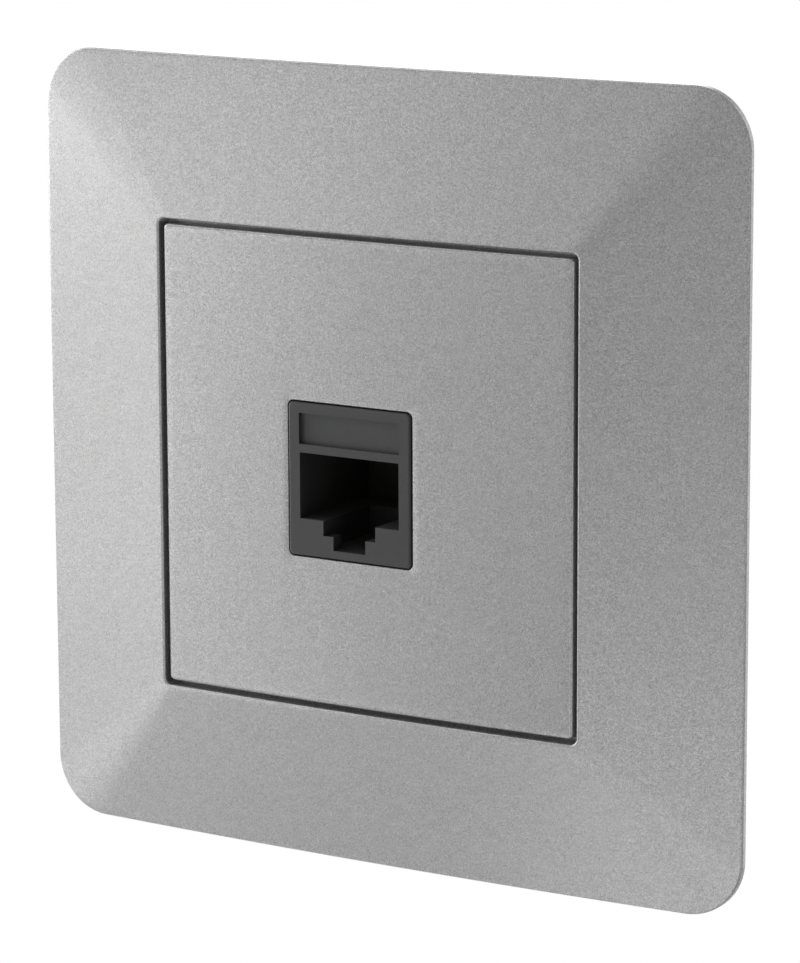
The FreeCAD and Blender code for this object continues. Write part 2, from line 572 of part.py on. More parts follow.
def centre_plate():
    """Bowed plate with the jack window, two guide bars and four hooks."""
    body = new_body("centre_plate")
    section = sketch_on(body, "XY")
    half = "sizes.plate_width / 2"
    radius = "(sizes.crown_radius + sizes.crest_rise - sizes.plate_drop)"
    edge = "(sqrt(%s ^ 2 - (%s) ^ 2) - sizes.crown_radius + %s)" % (radius, half, RIM)
    wide, low, rim = value(half), -value(PLATE_SEAT), -value(edge)
    section.addGeometry([
        Part.LineSegment(Vector(-wide, low, 0), Vector(wide, low, 0)),
        Part.LineSegment(Vector(wide, low, 0), Vector(wide, rim, 0)),
        Part.Arc(Vector(wide, rim, 0), Vector(0, -value(PLATE_TOP), 0), Vector(-wide, rim, 0)),
        Part.LineSegment(Vector(-wide, rim, 0), Vector(-wide, low, 0))])
    arc_start, arc_end = 2, 1
    for joint in ((0, 2, 1, 1), (1, 2, 2, arc_start), (2, arc_end, 3, 1), (3, 2, 0, 1)):
        section.addConstraint(Sketcher.Constraint("Coincident", *joint))
    for side in (1, 3):
        section.addConstraint(Sketcher.Constraint("Vertical", side))
    locate(section, 0, 1, "-" + half, "-" + PLATE_SEAT)
    locate(section, 0, 2, half, "-" + PLATE_SEAT)
    locate(section, 2, 3, "0", "sizes.crown_radius - " + RIM)
    dimension(section, "Radius", (2,), radius)
    pad(body, section, "sizes.plate_width", centred=True)
    dress(body, "Fillet", "sizes.plate_corner", lambda e: runs_along(e, "y"))
    front = -value(PLATE_SEAT) - value("sizes.plate_thickness") / 2
    dress(body, "Fillet", "sizes.plate_round", lambda e: e.BoundBox.YMax < front)

    section = sketch_on(body, "XZ", "%s + sizes.cut_over" % PLATE_TOP)
    window = "(sizes.jack_width + 2 * sizes.jack_play)"
    window_height = "(sizes.jack_height + 2 * sizes.jack_play)"
    rectangle(section, "sizes.jack_x", "sizes.jack_z", window, window_height)
    pocket(body, section, "2 * %s" % PLATE_TOP)
    middle = Vector(value("sizes.jack_x"), 0, value("sizes.jack_z"))
    across, up = value(window + " / 2"), value(window_height + " / 2")
    dress(body, "Fillet", "sizes.jack_corner + sizes.jack_play", lambda e: (
        runs_along(e, "y") and abs(abs(e.BoundBox.XMin - middle.x) - across) < NEAR
        and abs(abs(e.BoundBox.ZMin - middle.z) - up) < NEAR))
    section = sketch_on(body, "XZ", PLATE_SEAT)
    for side in ("-", "+"):
        bar = "(sizes.jack_x %s (%s + sizes.guide_wall) / 2)" % (side, window)
        rectangle(section, bar, "sizes.jack_z", "sizes.guide_wall", "sizes.jack_height")
    pad(body, section, "sizes.guide_depth", reverse=True)

    section = sketch_on(body, "YZ", "sizes.hook_x")
    tip = "(sizes.hook_play + sizes.hook_tip)"
    for side in ("", "-"):
        inner = "%s(%s - sizes.hook_thickness)" % (side, HOOK_Z)
        outer = "%s%s" % (side, HOOK_Z)
        barb = "%s(%s + sizes.hook_catch)" % (side, HOOK_Z)
        polygon(section, [
            ("-" + PLATE_SEAT, inner), (tip, inner), (tip, outer),
            ("sizes.hook_play + sizes.hook_tip / 3", barb), ("sizes.hook_play", barb),
            ("sizes.hook_play", outer), ("-" + PLATE_SEAT, outer)])
    hooks = pad(body, section, "sizes.hook_width", centred=True)
    mirror(body, [hooks], "YZ")
    return body


def hook_holes(sketch):
    """Openings that the plate's hooks pass through."""
    width = "(sizes.hook_width + 2 * sizes.hook_hole_play)"
    height = "(sizes.hook_thickness + sizes.hook_catch + 2 * sizes.hook_hole_play)"
    middle = "(%s - (sizes.hook_thickness + sizes.hook_catch) / 2)" % HOOK_Z
    for across in ("-", ""):
        for up in ("-", ""):
            rectangle(sketch, across + "sizes.hook_x", up + middle, width, height)


def beads(sketch, inset):
    """Stiffening beads along the four sides of the support, narrowed by an inset."""
    length = "(sizes.emboss_length - 2 * %s)" % inset
    width = "(sizes.emboss_width - 2 * %s)" % inset
    for across in ("-", ""):
        for up in ("-", ""):
            slot(sketch, across + "sizes.emboss_offset", up + EMBOSS, length, width)
            slot(sketch, across + EMBOSS, up + "sizes.emboss_offset", length, width, upright=True)


def support_frame():
    """Punched and embossed steel sheet with slots for the box screws and two folded lips."""
    body = new_body("support_frame")
    section = sketch_on(body, "XZ")
    rectangle(section, "0", "0", SUPPORT, SUPPORT)
    pad(body, section, "sizes.sheet_thickness")
    dress(body, "Fillet", "sizes.support_corner", lambda e: runs_along(e, "y"))

    section = sketch_on(body, "XZ", "sizes.sheet_thickness")
    polygon(section, [("-" + CUT_X, CUT_LOW), (CUT_X, CUT_LOW), (CUT_X, CUT_HIGH),
                      ("-" + CUT_X, CUT_HIGH)])
    pocket(body, section, "sizes.sheet_thickness")
    levels = (value(CUT_LOW), value(CUT_HIGH))

    def at_cut(edge):
        return any(abs(edge.BoundBox.ZMin - level) < NEAR for level in levels)

    dress(body, "Fillet", "sizes.aperture_corner", lambda e: runs_along(e, "y") and at_cut(e))
    fold_lips(body, at_cut)

    section = sketch_on(body, "XZ", "sizes.sheet_thickness")
    hook_holes(section)
    for side in ("-", ""):
        place = side + "sizes.screw_pitch / 2"
        slot(section, place, "0", "sizes.slot_length", "sizes.slot_width")
        slot(section, "0", place, "sizes.slot_length", "sizes.slot_width", upright=True)
        circle(section, side + CLAW_SCREW_X, "0", SCREW_ROOM)
        for level in (STAKE_LOW, STAKE_HIGH):
            circle(section, side + "sizes.stake_x", level, "sizes.stake_radius + sizes.stake_play")
    pocket(body, section, "sizes.sheet_thickness")
    section = sketch_on(body, "XZ", "sizes.sheet_thickness")
    beads(section, "0")
    pad(body, section, "sizes.emboss_height")
    section = sketch_on(body, "XZ")
    beads(section, "sizes.emboss_wall")
    pocket(body, section, "sizes.emboss_height", reverse=True)
    return body


def fold_lips(body, at_cut):
    """Lips folded back along the cut-out's long edges, with relief slits and round bends."""
    section = sketch_on(body, "XZ", "sizes.sheet_thickness")
    half_sheet = "sizes.sheet_thickness / 2"
    for level in ("%s - %s" % (CUT_LOW, half_sheet), "%s + %s" % (CUT_HIGH, half_sheet)):
        rectangle(section, "0", level, "sizes.lip_length", "sizes.sheet_thickness")
    pad(body, section, "sizes.sheet_thickness + sizes.lip_depth", reverse=True)
    free = value("sizes.lip_depth")
    dress(body, "Fillet", "sizes.lip_corner", lambda e: (
        runs_along(e, "z") and e.BoundBox.YMin > free - NEAR))

    section = sketch_on(body, "XZ", "sizes.sheet_thickness")
    for side in ("-", ""):
        place = side + "(sizes.lip_length + sizes.relief_width) / 2"
        for level in (CUT_LOW, CUT_HIGH):
            rectangle(section, place, level, "sizes.relief_width",
                      "(2 * (%s + sizes.relief_past))" % BEND)
    pocket(body, section, "sizes.sheet_thickness")
    length = value("sizes.lip_length")
    front = -value("sizes.sheet_thickness")

    def folded(edge, depth):
        return (runs_along(edge, "x") and abs(edge.BoundBox.XLength - length) < NEAR
                and abs(edge.BoundBox.YMin - depth) < NEAR)

    dress(body, "Fillet", BEND, lambda e: folded(e, front) and at_cut(e))
    dress(body, "Fillet", "sizes.bend_radius", lambda e: folded(e, 0) and not at_cut(e))


def keystone_carrier():
    """Cross-shaped flange, box round the jack, cheeks for the claws and plastic rivets."""
    body = new_body("keystone_carrier")
    section = sketch_on(body, "XZ", "sizes.sheet_thickness")
    polygon(section, [
        ("-" + FLANGE_X, LAP_LOW), ("-" + TAB_X, LAP_LOW), ("-" + TAB_X, FLANGE_LOW),
        (TAB_X, FLANGE_LOW), (TAB_X, LAP_LOW), (FLANGE_X, LAP_LOW),
        (FLANGE_X, LAP_HIGH), (TAB_X, LAP_HIGH), (TAB_X, FLANGE_HIGH),
        ("-" + TAB_X, FLANGE_HIGH), ("-" + TAB_X, LAP_HIGH), ("-" + FLANGE_X, LAP_HIGH)])
    pad(body, section, "sizes.flange_thickness")
    dress(body, "Fillet", "sizes.flange_corner", lambda e: runs_along(e, "y"))
    section = sketch_on(body, "XZ", "sizes.sheet_thickness")
    polygon(section, [(BOX_LEFT, BOX_LOW), (BOX_RIGHT, BOX_LOW), (BOX_RIGHT, BOX_HIGH),
                      (BOX_LEFT, BOX_HIGH)])
    pad(body, section, "sizes.sheet_thickness + sizes.catch_depth", reverse=True)
    section = sketch_on(body, "XZ", "-sizes.catch_depth")
    middle = "((%s + %s) / 2)" % (BOX_LOW, BOX_HIGH)
    for edge in ("%s + sizes.carrier_wall / 2" % BOX_LEFT, "%s - sizes.carrier_wall / 2" % BOX_RIGHT):
        rectangle(section, edge, middle, "sizes.carrier_wall", "(%s - %s)" % (BOX_HIGH, BOX_LOW))
    pad(body, section, "sizes.carrier_depth - sizes.catch_depth", reverse=True)

    section = sketch_on(body, "XZ", CARRIER_FACE)
    wide = "(sizes.jack_width / 2 + sizes.jack_play)"
    tall = "(sizes.jack_height / 2 + sizes.jack_play)"
    latch = "(sizes.latch_width / 2 + sizes.jack_play)"
    top = "(%s + sizes.jack_play)" % LATCH_TOP
    polygon(section, [("sizes.jack_x %s" % x, "sizes.jack_z %s" % z) for x, z in (
        ("- " + wide, "- " + tall), ("+ " + wide, "- " + tall), ("+ " + wide, "+ " + tall),
        ("+ " + latch, "+ " + tall), ("+ " + latch, "+ " + top), ("- " + latch, "+ " + top),
        ("- " + latch, "+ " + tall), ("- " + wide, "+ " + tall))])
    pocket(body, section, "%s + sizes.carrier_depth + sizes.cut_over" % CARRIER_FACE)
    rear = value("sizes.carrier_depth")
    inner_wall = value(wide)
    middle = value("sizes.jack_x")
    dress(body, "Chamfer", "sizes.carrier_lead", lambda e: (
        runs_along(e, "z") and abs(e.BoundBox.YMin - rear) < NEAR
        and abs(abs(e.BoundBox.XMin - middle) - inner_wall) < NEAR))

    section = sketch_on(body, "XY", CHEEK_INNER)
    back = "sizes.pivot_depth + sizes.cheek_round"
    for inner, outer in ((BOX_RIGHT, FLANGE_X), (BOX_LEFT, "-" + FLANGE_X)):
        polygon(section, [(inner, "-sizes.sheet_thickness"), (outer, "-sizes.sheet_thickness"),
                          (outer, back), (inner, back)])
    cheeks = pad(body, section, "sizes.cheek_thickness")
    mirror(body, [cheeks], "XY")
    far = value(back)
    reach = value(FLANGE_X)
    dress(body, "Fillet", "sizes.cheek_round", lambda e: (
        runs_along(e, "z") and abs(e.BoundBox.YMin - far) < NEAR
        and abs(abs(e.BoundBox.XMin) - reach) < NEAR))
    section = sketch_on(body, "XY")
    for side in ("-", ""):
        circle(section, side + "sizes.pivot_x", "sizes.pivot_depth", BEARING)
    pocket(body, section, "2 * (%s + sizes.cut_over)" % CHEEK_OUTER, centred=True)

    for lift, radius, length in (
            ("sizes.sheet_thickness", "sizes.stake_radius", "sizes.sheet_thickness"),
            ("0", "sizes.stake_head", "sizes.stake_head_height")):
        section = sketch_on(body, "XZ", lift)
        for side in ("-", ""):
            for level in (STAKE_LOW, STAKE_HIGH):
                circle(section, side + "sizes.stake_x", level, radius)
        pad(body, section, length, reverse=True)
    top = value("sizes.stake_head_height")
    dress(body, "Chamfer", "sizes.stake_bevel", lambda e: (
        abs(e.BoundBox.YMin - top) < NEAR and abs(e.BoundBox.YMax - top) < NEAR))
    return body


def claw(name, side):
    """Bent steel strip with a rolled hinge end, a screw hole and two outward teeth."""
    body = new_body(name)
    section = sketch_on(body, "XY")
    half = "sizes.claw_thickness / 2"
    front = "sizes.pivot_depth - " + half
    back = "sizes.pivot_depth + " + half
    inside = "%s(%s - sizes.claw_thickness)" % (side, CLAW_REACH)
    outside = side + CLAW_REACH
    hinge = side + "sizes.pivot_x"
    polygon(section, [
        (hinge, front), (outside, front), (outside, "sizes.claw_depth - sizes.tooth_length"),
        ("%s(%s + sizes.tooth_reach)" % (side, CLAW_REACH), "sizes.claw_depth"),
        (inside, "sizes.claw_depth - sizes.tooth_length / 2"), (inside, back), (hinge, back)])
    pad(body, section, "sizes.claw_width", centred=True)
    for x, y, radius in ((inside, back, "sizes.claw_bend"),
                         (outside, front, "sizes.claw_bend + sizes.claw_thickness")):
        spot = Vector(value(x), value(y), 0)
        dress(body, "Fillet", radius, lambda e: runs_along(e, "z") and (
            abs(e.BoundBox.XMin - spot.x) + abs(e.BoundBox.YMin - spot.y) < NEAR))
    section = sketch_on(body, "XY")
    circle(section, hinge, "sizes.pivot_depth", "sizes.bead_radius")
    pad(body, section, "2 * " + CHEEK_OUTER, centred=True)

    section = sketch_on(body, "XZ", "sizes.claw_thickness - sizes.pivot_depth")
    slot(section, side + CLAW_SCREW_X, "0", CLAW_SLOT, "(2 * %s)" % SCREW_ROOM)
    pocket(body, section, "2 * sizes.claw_thickness")
    section = sketch_on(body, "XZ", "2 * sizes.tooth_length - sizes.claw_depth")
    rectangle(section, outside, "0", "4 * (sizes.claw_thickness + sizes.tooth_reach)",
              "sizes.tooth_gap")
    pocket(body, section, "3 * sizes.tooth_length")
    return body


def claw_screw(name, side):
    """Slotted screw that pulls a claw, its head on the front of the steel."""
    body = new_body(name, side + CLAW_SCREW_X)
    section = sketch_on(body, "XY")
    seat = "(sizes.sheet_thickness + sizes.head_play)"
    top = "(%s + sizes.claw_head_height)" % seat
    tip = "sizes.claw_screw_length"
    point = "sizes.claw_screw_radius / 2"
    polygon(section, [
        ("0", "-" + top), ("sizes.claw_head_radius", "-" + top),
        ("sizes.claw_head_radius", "-" + seat), ("sizes.claw_screw_radius", "-" + seat),
        ("sizes.claw_screw_radius", "%s - %s" % (tip, point)), (point, tip), ("0", tip)])
    turn = body.newObject("PartDesign::Revolution", name + "_turn")
    turn.Profile = section
    turn.ReferenceAxis = (section, ["V_Axis"])
    turn.Angle = 360
    doc.recompute()
    front = -value(top)
    dress(body, "Chamfer", "sizes.head_bevel", lambda e: e.BoundBox.YMax < front + NEAR)
    section = sketch_on(body, "XZ", top)
    rectangle(section, "0", "0", "4 * sizes.claw_head_radius", "sizes.drive_width")
    pocket(body, section, "sizes.drive_depth")
    return body


def jack_housing():
    """Keystone housing with label field, stepped plug opening, catches and latch."""
    body = jack_body("jack_housing")
    section = sketch_on(body, "XZ")
    rectangle(section, "0", "0", "sizes.jack_width", "sizes.jack_height")
    pad(body, section, "sizes.jack_depth", reverse=True)
    dress(body, "Fillet", "sizes.jack_corner", lambda e: runs_along(e, "y"))
    dress(body, "Fillet", "sizes.jack_round", lambda e: e.BoundBox.YMax < NEAR)

    section = sketch_on(body, "XZ")
    rectangle(section, "0", "sizes.label_base + sizes.label_height / 2", "sizes.label_width",
              "sizes.label_height")
    pocket(body, section, "sizes.label_depth")
    section = sketch_on(body, "XZ")
    floor = "(sizes.plug_top - sizes.plug_height)"
    rectangle(section, "0", "(sizes.plug_top - sizes.plug_height / 2)", "sizes.plug_width",
              "sizes.plug_height")
    pocket(body, section, "sizes.plug_depth")
    step = "(%s - sizes.step_height)" % floor
    notch = "(%s - sizes.notch_height)" % step
    section = sketch_on(body, "XZ")
    wide, narrow = "sizes.step_width / 2", "sizes.notch_width / 2"
    polygon(section, [
        ("-" + wide, floor), (wide, floor), (wide, step), (narrow, step), (narrow, notch),
        ("-" + narrow, notch), ("-" + narrow, step), ("-" + wide, step)])
    pocket(body, section, "sizes.notch_depth")
    section = sketch_on(body, "XZ", "-sizes.notch_lip")
    rectangle(section, "0", "(%s + %s) / 2" % (step, notch), "sizes.step_width",
              "sizes.notch_height")
    pocket(body, section, "sizes.notch_depth - sizes.notch_lip")
    section = sketch_on(body, "XZ", "-sizes.jack_depth")
    ceiling = "(sizes.insert_base + sizes.insert_height + sizes.insert_play)"
    rectangle(section, "0", "(sizes.plug_top + %s) / 2" % ceiling,
              "(sizes.insert_width + 2 * sizes.insert_play)", "(%s - sizes.plug_top)" % ceiling)
    pocket(body, section, "sizes.jack_depth - sizes.pocket_front", reverse=True)

    nose_back = "(%s - %s - sizes.jack_play)" % (JACK_FACE, CARRIER_FACE)
    nose_front = "(%s - sizes.hook_nose)" % nose_back
    stop_front = "(%s + sizes.catch_depth + sizes.jack_play)" % JACK_FACE
    underside = "-sizes.jack_height / 2"
    section = sketch_on(body, "YZ")
    polygon(section, [
        (nose_front, underside), (nose_back, underside),
        (nose_back, "%s - sizes.hook_reach" % underside),
        (nose_front + " + sizes.hook_nose / 2", "%s - sizes.hook_reach" % underside)])
    polygon(section, [
        (stop_front, underside), (stop_front, "%s - sizes.stop_reach" % underside),
        (stop_front + " + sizes.stop_length / 2", "%s - sizes.stop_reach" % underside),
        (stop_front + " + sizes.stop_length", underside)])
    arm = "(%s - sizes.latch_thickness)" % LATCH_TOP
    root = "(sizes.jack_depth - sizes.latch_root)"
    polygon(section, [
        (root, "sizes.jack_height / 2"), ("sizes.jack_depth", "sizes.jack_height / 2"),
        ("sizes.jack_depth", LATCH_TOP), (nose_back, LATCH_TOP),
        (nose_back, LATCH_TOP + " + sizes.hook_reach"),
        (nose_front + " + sizes.hook_nose / 2", LATCH_TOP + " + sizes.hook_reach"),
        (nose_front, LATCH_TOP), (nose_front, arm), (root, arm)])
    pad(body, section, "sizes.latch_width", centred=True)
    return body


def wire_place(index):
    """Sideways place of a contact wire."""
    return "(%g * sizes.wire_pitch)" % (index - (CONTACTS - 1) / 2)


def terminal_place(index):
    """Upward place of a wire slot in its row."""
    return "(%g * sizes.terminal_pitch)" % (index - (ROW_TERMINALS - 1) / 2)


def contact_insert():
    """Comb that carries the upper runs of the contact wires."""
    body = jack_body("contact_insert")
    section = sketch_on(body, "XZ", "-sizes.insert_front")
    rectangle(section, "0", "(sizes.insert_base + sizes.insert_height / 2)", "sizes.insert_width",
              "sizes.insert_height")
    pad(body, section, "sizes.jack_depth - sizes.insert_front", reverse=True)
    section = sketch_on(body, "XZ", "-sizes.insert_front")
    groove_top = "(sizes.wire_level + sizes.wire_side / 2 + sizes.wire_play)"
    for index in range(CONTACTS):
        rectangle(section, wire_place(index), "(sizes.insert_base + %s) / 2" % groove_top,
                  "(sizes.wire_side + 2 * sizes.wire_play)",
                  "(%s - sizes.insert_base)" % groove_top)
    pocket(body, section, "sizes.jack_depth")
    return body


def contact_wire(index):
    """Spring wire from the board along the comb, round its bend and down into the opening."""
    body = jack_body("contact_wire_%d" % (index + 1))
    tail = "(%s + sizes.tail_length)" % BOARD_BACK
    level, bend = "sizes.wire_level", "sizes.wire_turn"
    drop = "(%s - %s - %s * cos(sizes.wire_slope))" % (level, bend, bend)
    turn_end = "(sizes.wire_front - %s * sin(sizes.wire_slope))" % bend
    free_y = "%s + sizes.wire_free * cos(sizes.wire_slope)" % turn_end
    free_z = "%s - sizes.wire_free * sin(sizes.wire_slope)" % drop
    path = sketch_on(body, "YZ", wire_place(index))
    places = [(tail, level), ("sizes.wire_front", level), (turn_end, drop), (free_y, free_z)]
    start, top, low, end = [Vector(value(y), value(z), 0) for y, z in places]
    nose = Vector(value("sizes.wire_front - " + bend), value("%s - %s" % (level, bend)), 0)
    path.addGeometry([Part.LineSegment(start, top), Part.Arc(top, nose, low),
                      Part.LineSegment(low, end)])
    path.addConstraint(Sketcher.Constraint("Coincident", 1, 1, 0, 2))
    path.addConstraint(Sketcher.Constraint("Coincident", 1, 2, 2, 1))
    for element, point, place in ((0, 1, 0), (0, 2, 1), (2, 1, 2), (2, 2, 3)):
        locate(path, element, point, *places[place])
    dimension(path, "Radius", (1,), bend)
    section = sketch_on(body, "XZ", "-" + tail)
    rectangle(section, wire_place(index), level, "sizes.wire_side", "sizes.wire_side")
    pipe = body.newObject("PartDesign::AdditivePipe", body.Name + "_pipe")
    pipe.Profile = section
    pipe.Spine = path
    doc.recompute()
    return body


def jack_circuit_board():
    """Board between the housing and the terminal block, with holes for the contacts."""
    body = jack_body("jack_circuit_board")
    section = sketch_on(body, "XZ", "-sizes.jack_depth")
    rectangle(section, "0", "0", "sizes.board_width", "sizes.board_height")
    pad(body, section, "sizes.board_thickness", reverse=True)
    section = sketch_on(body, "XZ", "-sizes.jack_depth")
    for index in range(CONTACTS):
        rectangle(section, wire_place(index), "sizes.wire_level", "sizes.tail_hole",
                  "sizes.tail_hole")
    for side in ("-", ""):
        for index in range(ROW_TERMINALS):
            rectangle(section, side + ROW_X, terminal_place(index), "sizes.blade_hole",
                      "sizes.blade_hole")
    pocket(body, section, "sizes.board_thickness")
    return body


def termination_block():
    """Rear moulding with a skirt round the board and two rows of slotted towers."""
    body = jack_body("termination_block")
    section = sketch_on(body, "XZ", "-" + BOARD_BACK)
    rectangle(section, "0", "0", "sizes.block_width", "sizes.block_height")
    pad(body, section, "sizes.block_base", reverse=True)
    section = sketch_on(body, "XZ", "-sizes.jack_depth")
    rectangle(section, "0", "0", "sizes.jack_width", "sizes.jack_height")
    rectangle(section, "0", "0", "(sizes.board_width + 2 * sizes.board_play)",
              "(sizes.board_height + 2 * sizes.board_play)")
    pad(body, section, "sizes.board_thickness", reverse=True)
    section = sketch_on(body, "XZ", "-" + TOWER_FOOT)
    for side in ("-", ""):
        rectangle(section, side + ROW_X, "0", "sizes.tower_width", "sizes.block_height")
    pad(body, section, "sizes.tower_height", reverse=True)
    wide = value("sizes.block_width / 2")
    tall = value("sizes.block_height / 2")
    dress(body, "Fillet", "sizes.block_corner", lambda e: (
        runs_along(e, "y") and abs(abs(e.BoundBox.XMin) - wide) < NEAR
        and abs(abs(e.BoundBox.ZMin) - tall) < NEAR))

    section = sketch_on(body, "YZ")
    for index in range(ROW_TERMINALS):
        place = terminal_place(index)
        mouth, slit = "sizes.terminal_mouth / 2", "sizes.terminal_slot / 2"
        neck = "%s - sizes.mouth_depth" % TOWER_TOP
        foot = "%s - sizes.terminal_depth" % TOWER_TOP
        polygon(section, [
            (TOWER_TOP, "%s - %s" % (place, mouth)), (neck, "%s - %s" % (place, slit)),
            (foot, "%s - %s" % (place, slit)), (foot, "%s + %s" % (place, slit)),
            (neck, "%s + %s" % (place, slit)), (TOWER_TOP, "%s + %s" % (place, mouth))])
    pocket(body, section, "2 * sizes.block_width", centred=True)
    section = sketch_on(body, "XZ", "-" + BOARD_BACK)
    for side in ("-", ""):
        for index in range(ROW_TERMINALS):
            rectangle(section, side + ROW_X, terminal_place(index),
                      "(sizes.blade_thickness + 2 * sizes.blade_play)",
                      "(sizes.blade_width + 2 * sizes.blade_play)")
    pocket(body, section, "sizes.block_base + sizes.tower_height")
    section = sketch_on(body, "XZ", "-" + BOARD_BACK)
    rectangle(section, "0", "sizes.wire_level", "(%d * sizes.wire_pitch)" % CONTACTS,
              "(2 * sizes.tail_hole)")
    pocket(body, section, "2 * sizes.tail_length")
    return body


def idc_contact(number, side, index):
    """Forked blade of one terminal, its tail in the board."""
    body = jack_body("idc_contact_%d" % number)
    place = terminal_place(index)
    section = sketch_on(body, "YZ", side + ROW_X)
    tail_tip = "(sizes.jack_depth + sizes.board_thickness / 8)"
    shoulder = "(%s + sizes.tail_length)" % BOARD_BACK
    top = "(%s - sizes.blade_sink)" % TOWER_TOP
    steps = [
        (tail_tip, "sizes.blade_tail / 2"), (shoulder, "sizes.blade_tail / 2"),
        (shoulder, "sizes.blade_width / 2"), (top, "sizes.blade_width / 2"),
        (top, "1.5 * sizes.blade_slit"), (top + " - 2 * sizes.blade_slit", "sizes.blade_slit / 2"),
        (top + " - sizes.slit_depth", "sizes.blade_slit / 2")]
    outline = [(y, "%s - %s" % (place, reach)) for y, reach in steps]
    outline += [(y, "%s + %s" % (place, reach)) for y, reach in reversed(steps)]
    polygon(section, outline)
    pad(body, section, "sizes.blade_thickness", centred=True)
    return body


def wire_cap(name, side):
    """Cap over one row of towers, notched for the wires."""
    body = jack_body(name)
    start = "(%s + sizes.cap_play + sizes.cap_roof - sizes.cap_depth)" % TOWER_TOP
    inner_width = "(sizes.tower_width + 2 * sizes.cap_play)"
    inner_height = "(sizes.block_height + 2 * sizes.cap_play)"
    outer_width = "(%s + 2 * sizes.cap_wall)" % inner_width
    outer_height = "(%s + 2 * sizes.cap_wall)" % inner_height
    section = sketch_on(body, "XZ", "-" + start)
    rectangle(section, side + ROW_X, "0", outer_width, outer_height)
    pad(body, section, "sizes.cap_depth", reverse=True)
    dress(body, "Fillet", "sizes.cap_corner", lambda e: runs_along(e, "y"))
    back = value("%s + sizes.cap_depth" % start)
    dress(body, "Chamfer", "sizes.cap_bevel", lambda e: e.BoundBox.YMin > back - NEAR)
    section = sketch_on(body, "XZ", "-" + start)
    rectangle(section, side + ROW_X, "0", inner_width, inner_height)
    pocket(body, section, "sizes.cap_depth - sizes.cap_roof")
    section = sketch_on(body, "YZ", side + ROW_X)
    for index in range(ROW_TERMINALS):
        rectangle(section, "(%s + sizes.cap_notch_depth / 2)" % start, terminal_place(index),
                  "sizes.cap_notch_depth", "sizes.cap_notch")
    pocket(body, section, "2 * " + outer_width, centred=True)
    return body


def export(pieces):
    """Check every object of the document, then write one file for each piece."""
    doc.recompute()
    for item in doc.Objects:
        if "Invalid" in item.State or "Error" in item.State:
            raise RuntimeError("%s failed: %s" % (item.Name, item.State))
    for piece in pieces:
        shape = piece.Shape
        if shape.isNull() or not shape.isValid():
            raise RuntimeError("%s has no valid shape" % piece.Label)
    os.makedirs("parts", exist_ok=True)
    for piece in pieces:
        piece.Shape.exportStep("parts/%s.step" % piece.Label)


SIDES = (("left", "-"), ("right", ""))

subparts = [cover_frame(), centre_plate(), support_frame(), keystone_carrier()]
subparts += [claw("claw_" + word, sign) for word, sign in SIDES]
subparts += [claw_screw("claw_screw_" + word, sign) for word, sign in SIDES]
subparts += [jack_housing(), contact_insert(), jack_circuit_board(), termination_block()]
subparts += [contact_wire(index) for index in range(CONTACTS)]
for row, (word, sign) in enumerate(SIDES):
    for index in range(ROW_TERMINALS):
        subparts.append(idc_contact(row * ROW_TERMINALS + index + 1, sign, index))
    subparts.append(wire_cap("wire_cap_" + word, sign))
export(subparts)
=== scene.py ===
import json
import math

import bmesh
import bpy
from mathutils import Matrix, Vector


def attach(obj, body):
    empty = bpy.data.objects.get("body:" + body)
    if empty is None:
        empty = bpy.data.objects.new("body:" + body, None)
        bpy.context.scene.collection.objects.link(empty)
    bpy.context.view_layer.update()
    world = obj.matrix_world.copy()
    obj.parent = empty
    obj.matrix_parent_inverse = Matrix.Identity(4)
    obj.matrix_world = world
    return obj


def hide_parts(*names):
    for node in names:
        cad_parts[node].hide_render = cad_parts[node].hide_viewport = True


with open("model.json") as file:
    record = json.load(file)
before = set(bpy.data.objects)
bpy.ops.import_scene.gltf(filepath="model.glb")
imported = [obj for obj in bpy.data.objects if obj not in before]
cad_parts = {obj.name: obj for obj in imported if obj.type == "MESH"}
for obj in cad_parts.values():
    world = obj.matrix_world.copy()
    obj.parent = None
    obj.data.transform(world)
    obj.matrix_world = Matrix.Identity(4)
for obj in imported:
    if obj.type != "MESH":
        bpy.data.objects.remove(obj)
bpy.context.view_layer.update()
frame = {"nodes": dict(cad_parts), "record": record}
nodes = frame["nodes"]

# Flush wall outlet: X to the right seen from the room, Y into the wall, Z up.
# Sizes are millimetres and follow the CAD source. Heights are above the wall plane.
MM = 0.001

# Cover frame
HALF = 41.6
CORNER = 6.2
RIM_HEIGHT = 2.6
RIM_INSET = 1.9
CREST_RISE = 3.1
CROWN = 659.0
CREASE_INNER = 1.2
CREASE_OUTER = 42.0
ROOF_INSET = 3.0
ROOF_BEYOND = 1.5
FRAME_WALL = 1.6
SKIRT_WALL = 1.5
COLLAR_WALL = 1.4
LEDGE_WIDTH = 2.2
LEDGE_THICKNESS = 1.4
RIB_THICKNESS = 1.2
RIB_OFFSET = 15.0
RIB_LIFT = 2.0
OPENING = 24.83
OPENING_CORNER = 0.75

# Centre plate
PLATE = 24.35
PLATE_CORNER = 0.6
PLATE_ROUND = 0.45
PLATE_DROP = 0.19
PLATE_THICKNESS = 2.3
HOOK_X = 13.0
HOOK_CLEAR = 0.5
HOOK_WIDTH = 6.0
HOOK_THICKNESS = 1.4
HOOK_CATCH = 0.8
HOOK_TIP = 2.2
HOOK_PLAY = 0.15
GUIDE_WALL = 1.2
GUIDE_DEPTH = 1.2
WINDOW_X = 7.45
WINDOW_Z = 8.15
WINDOW_CORNER = 0.65

# Rounded edges and inner corners of the skins
RIM_RUN = 0.25
CREST_RUN = 0.36
WINDOW_LIP = 0.12
INNER_CORNER = 0.1

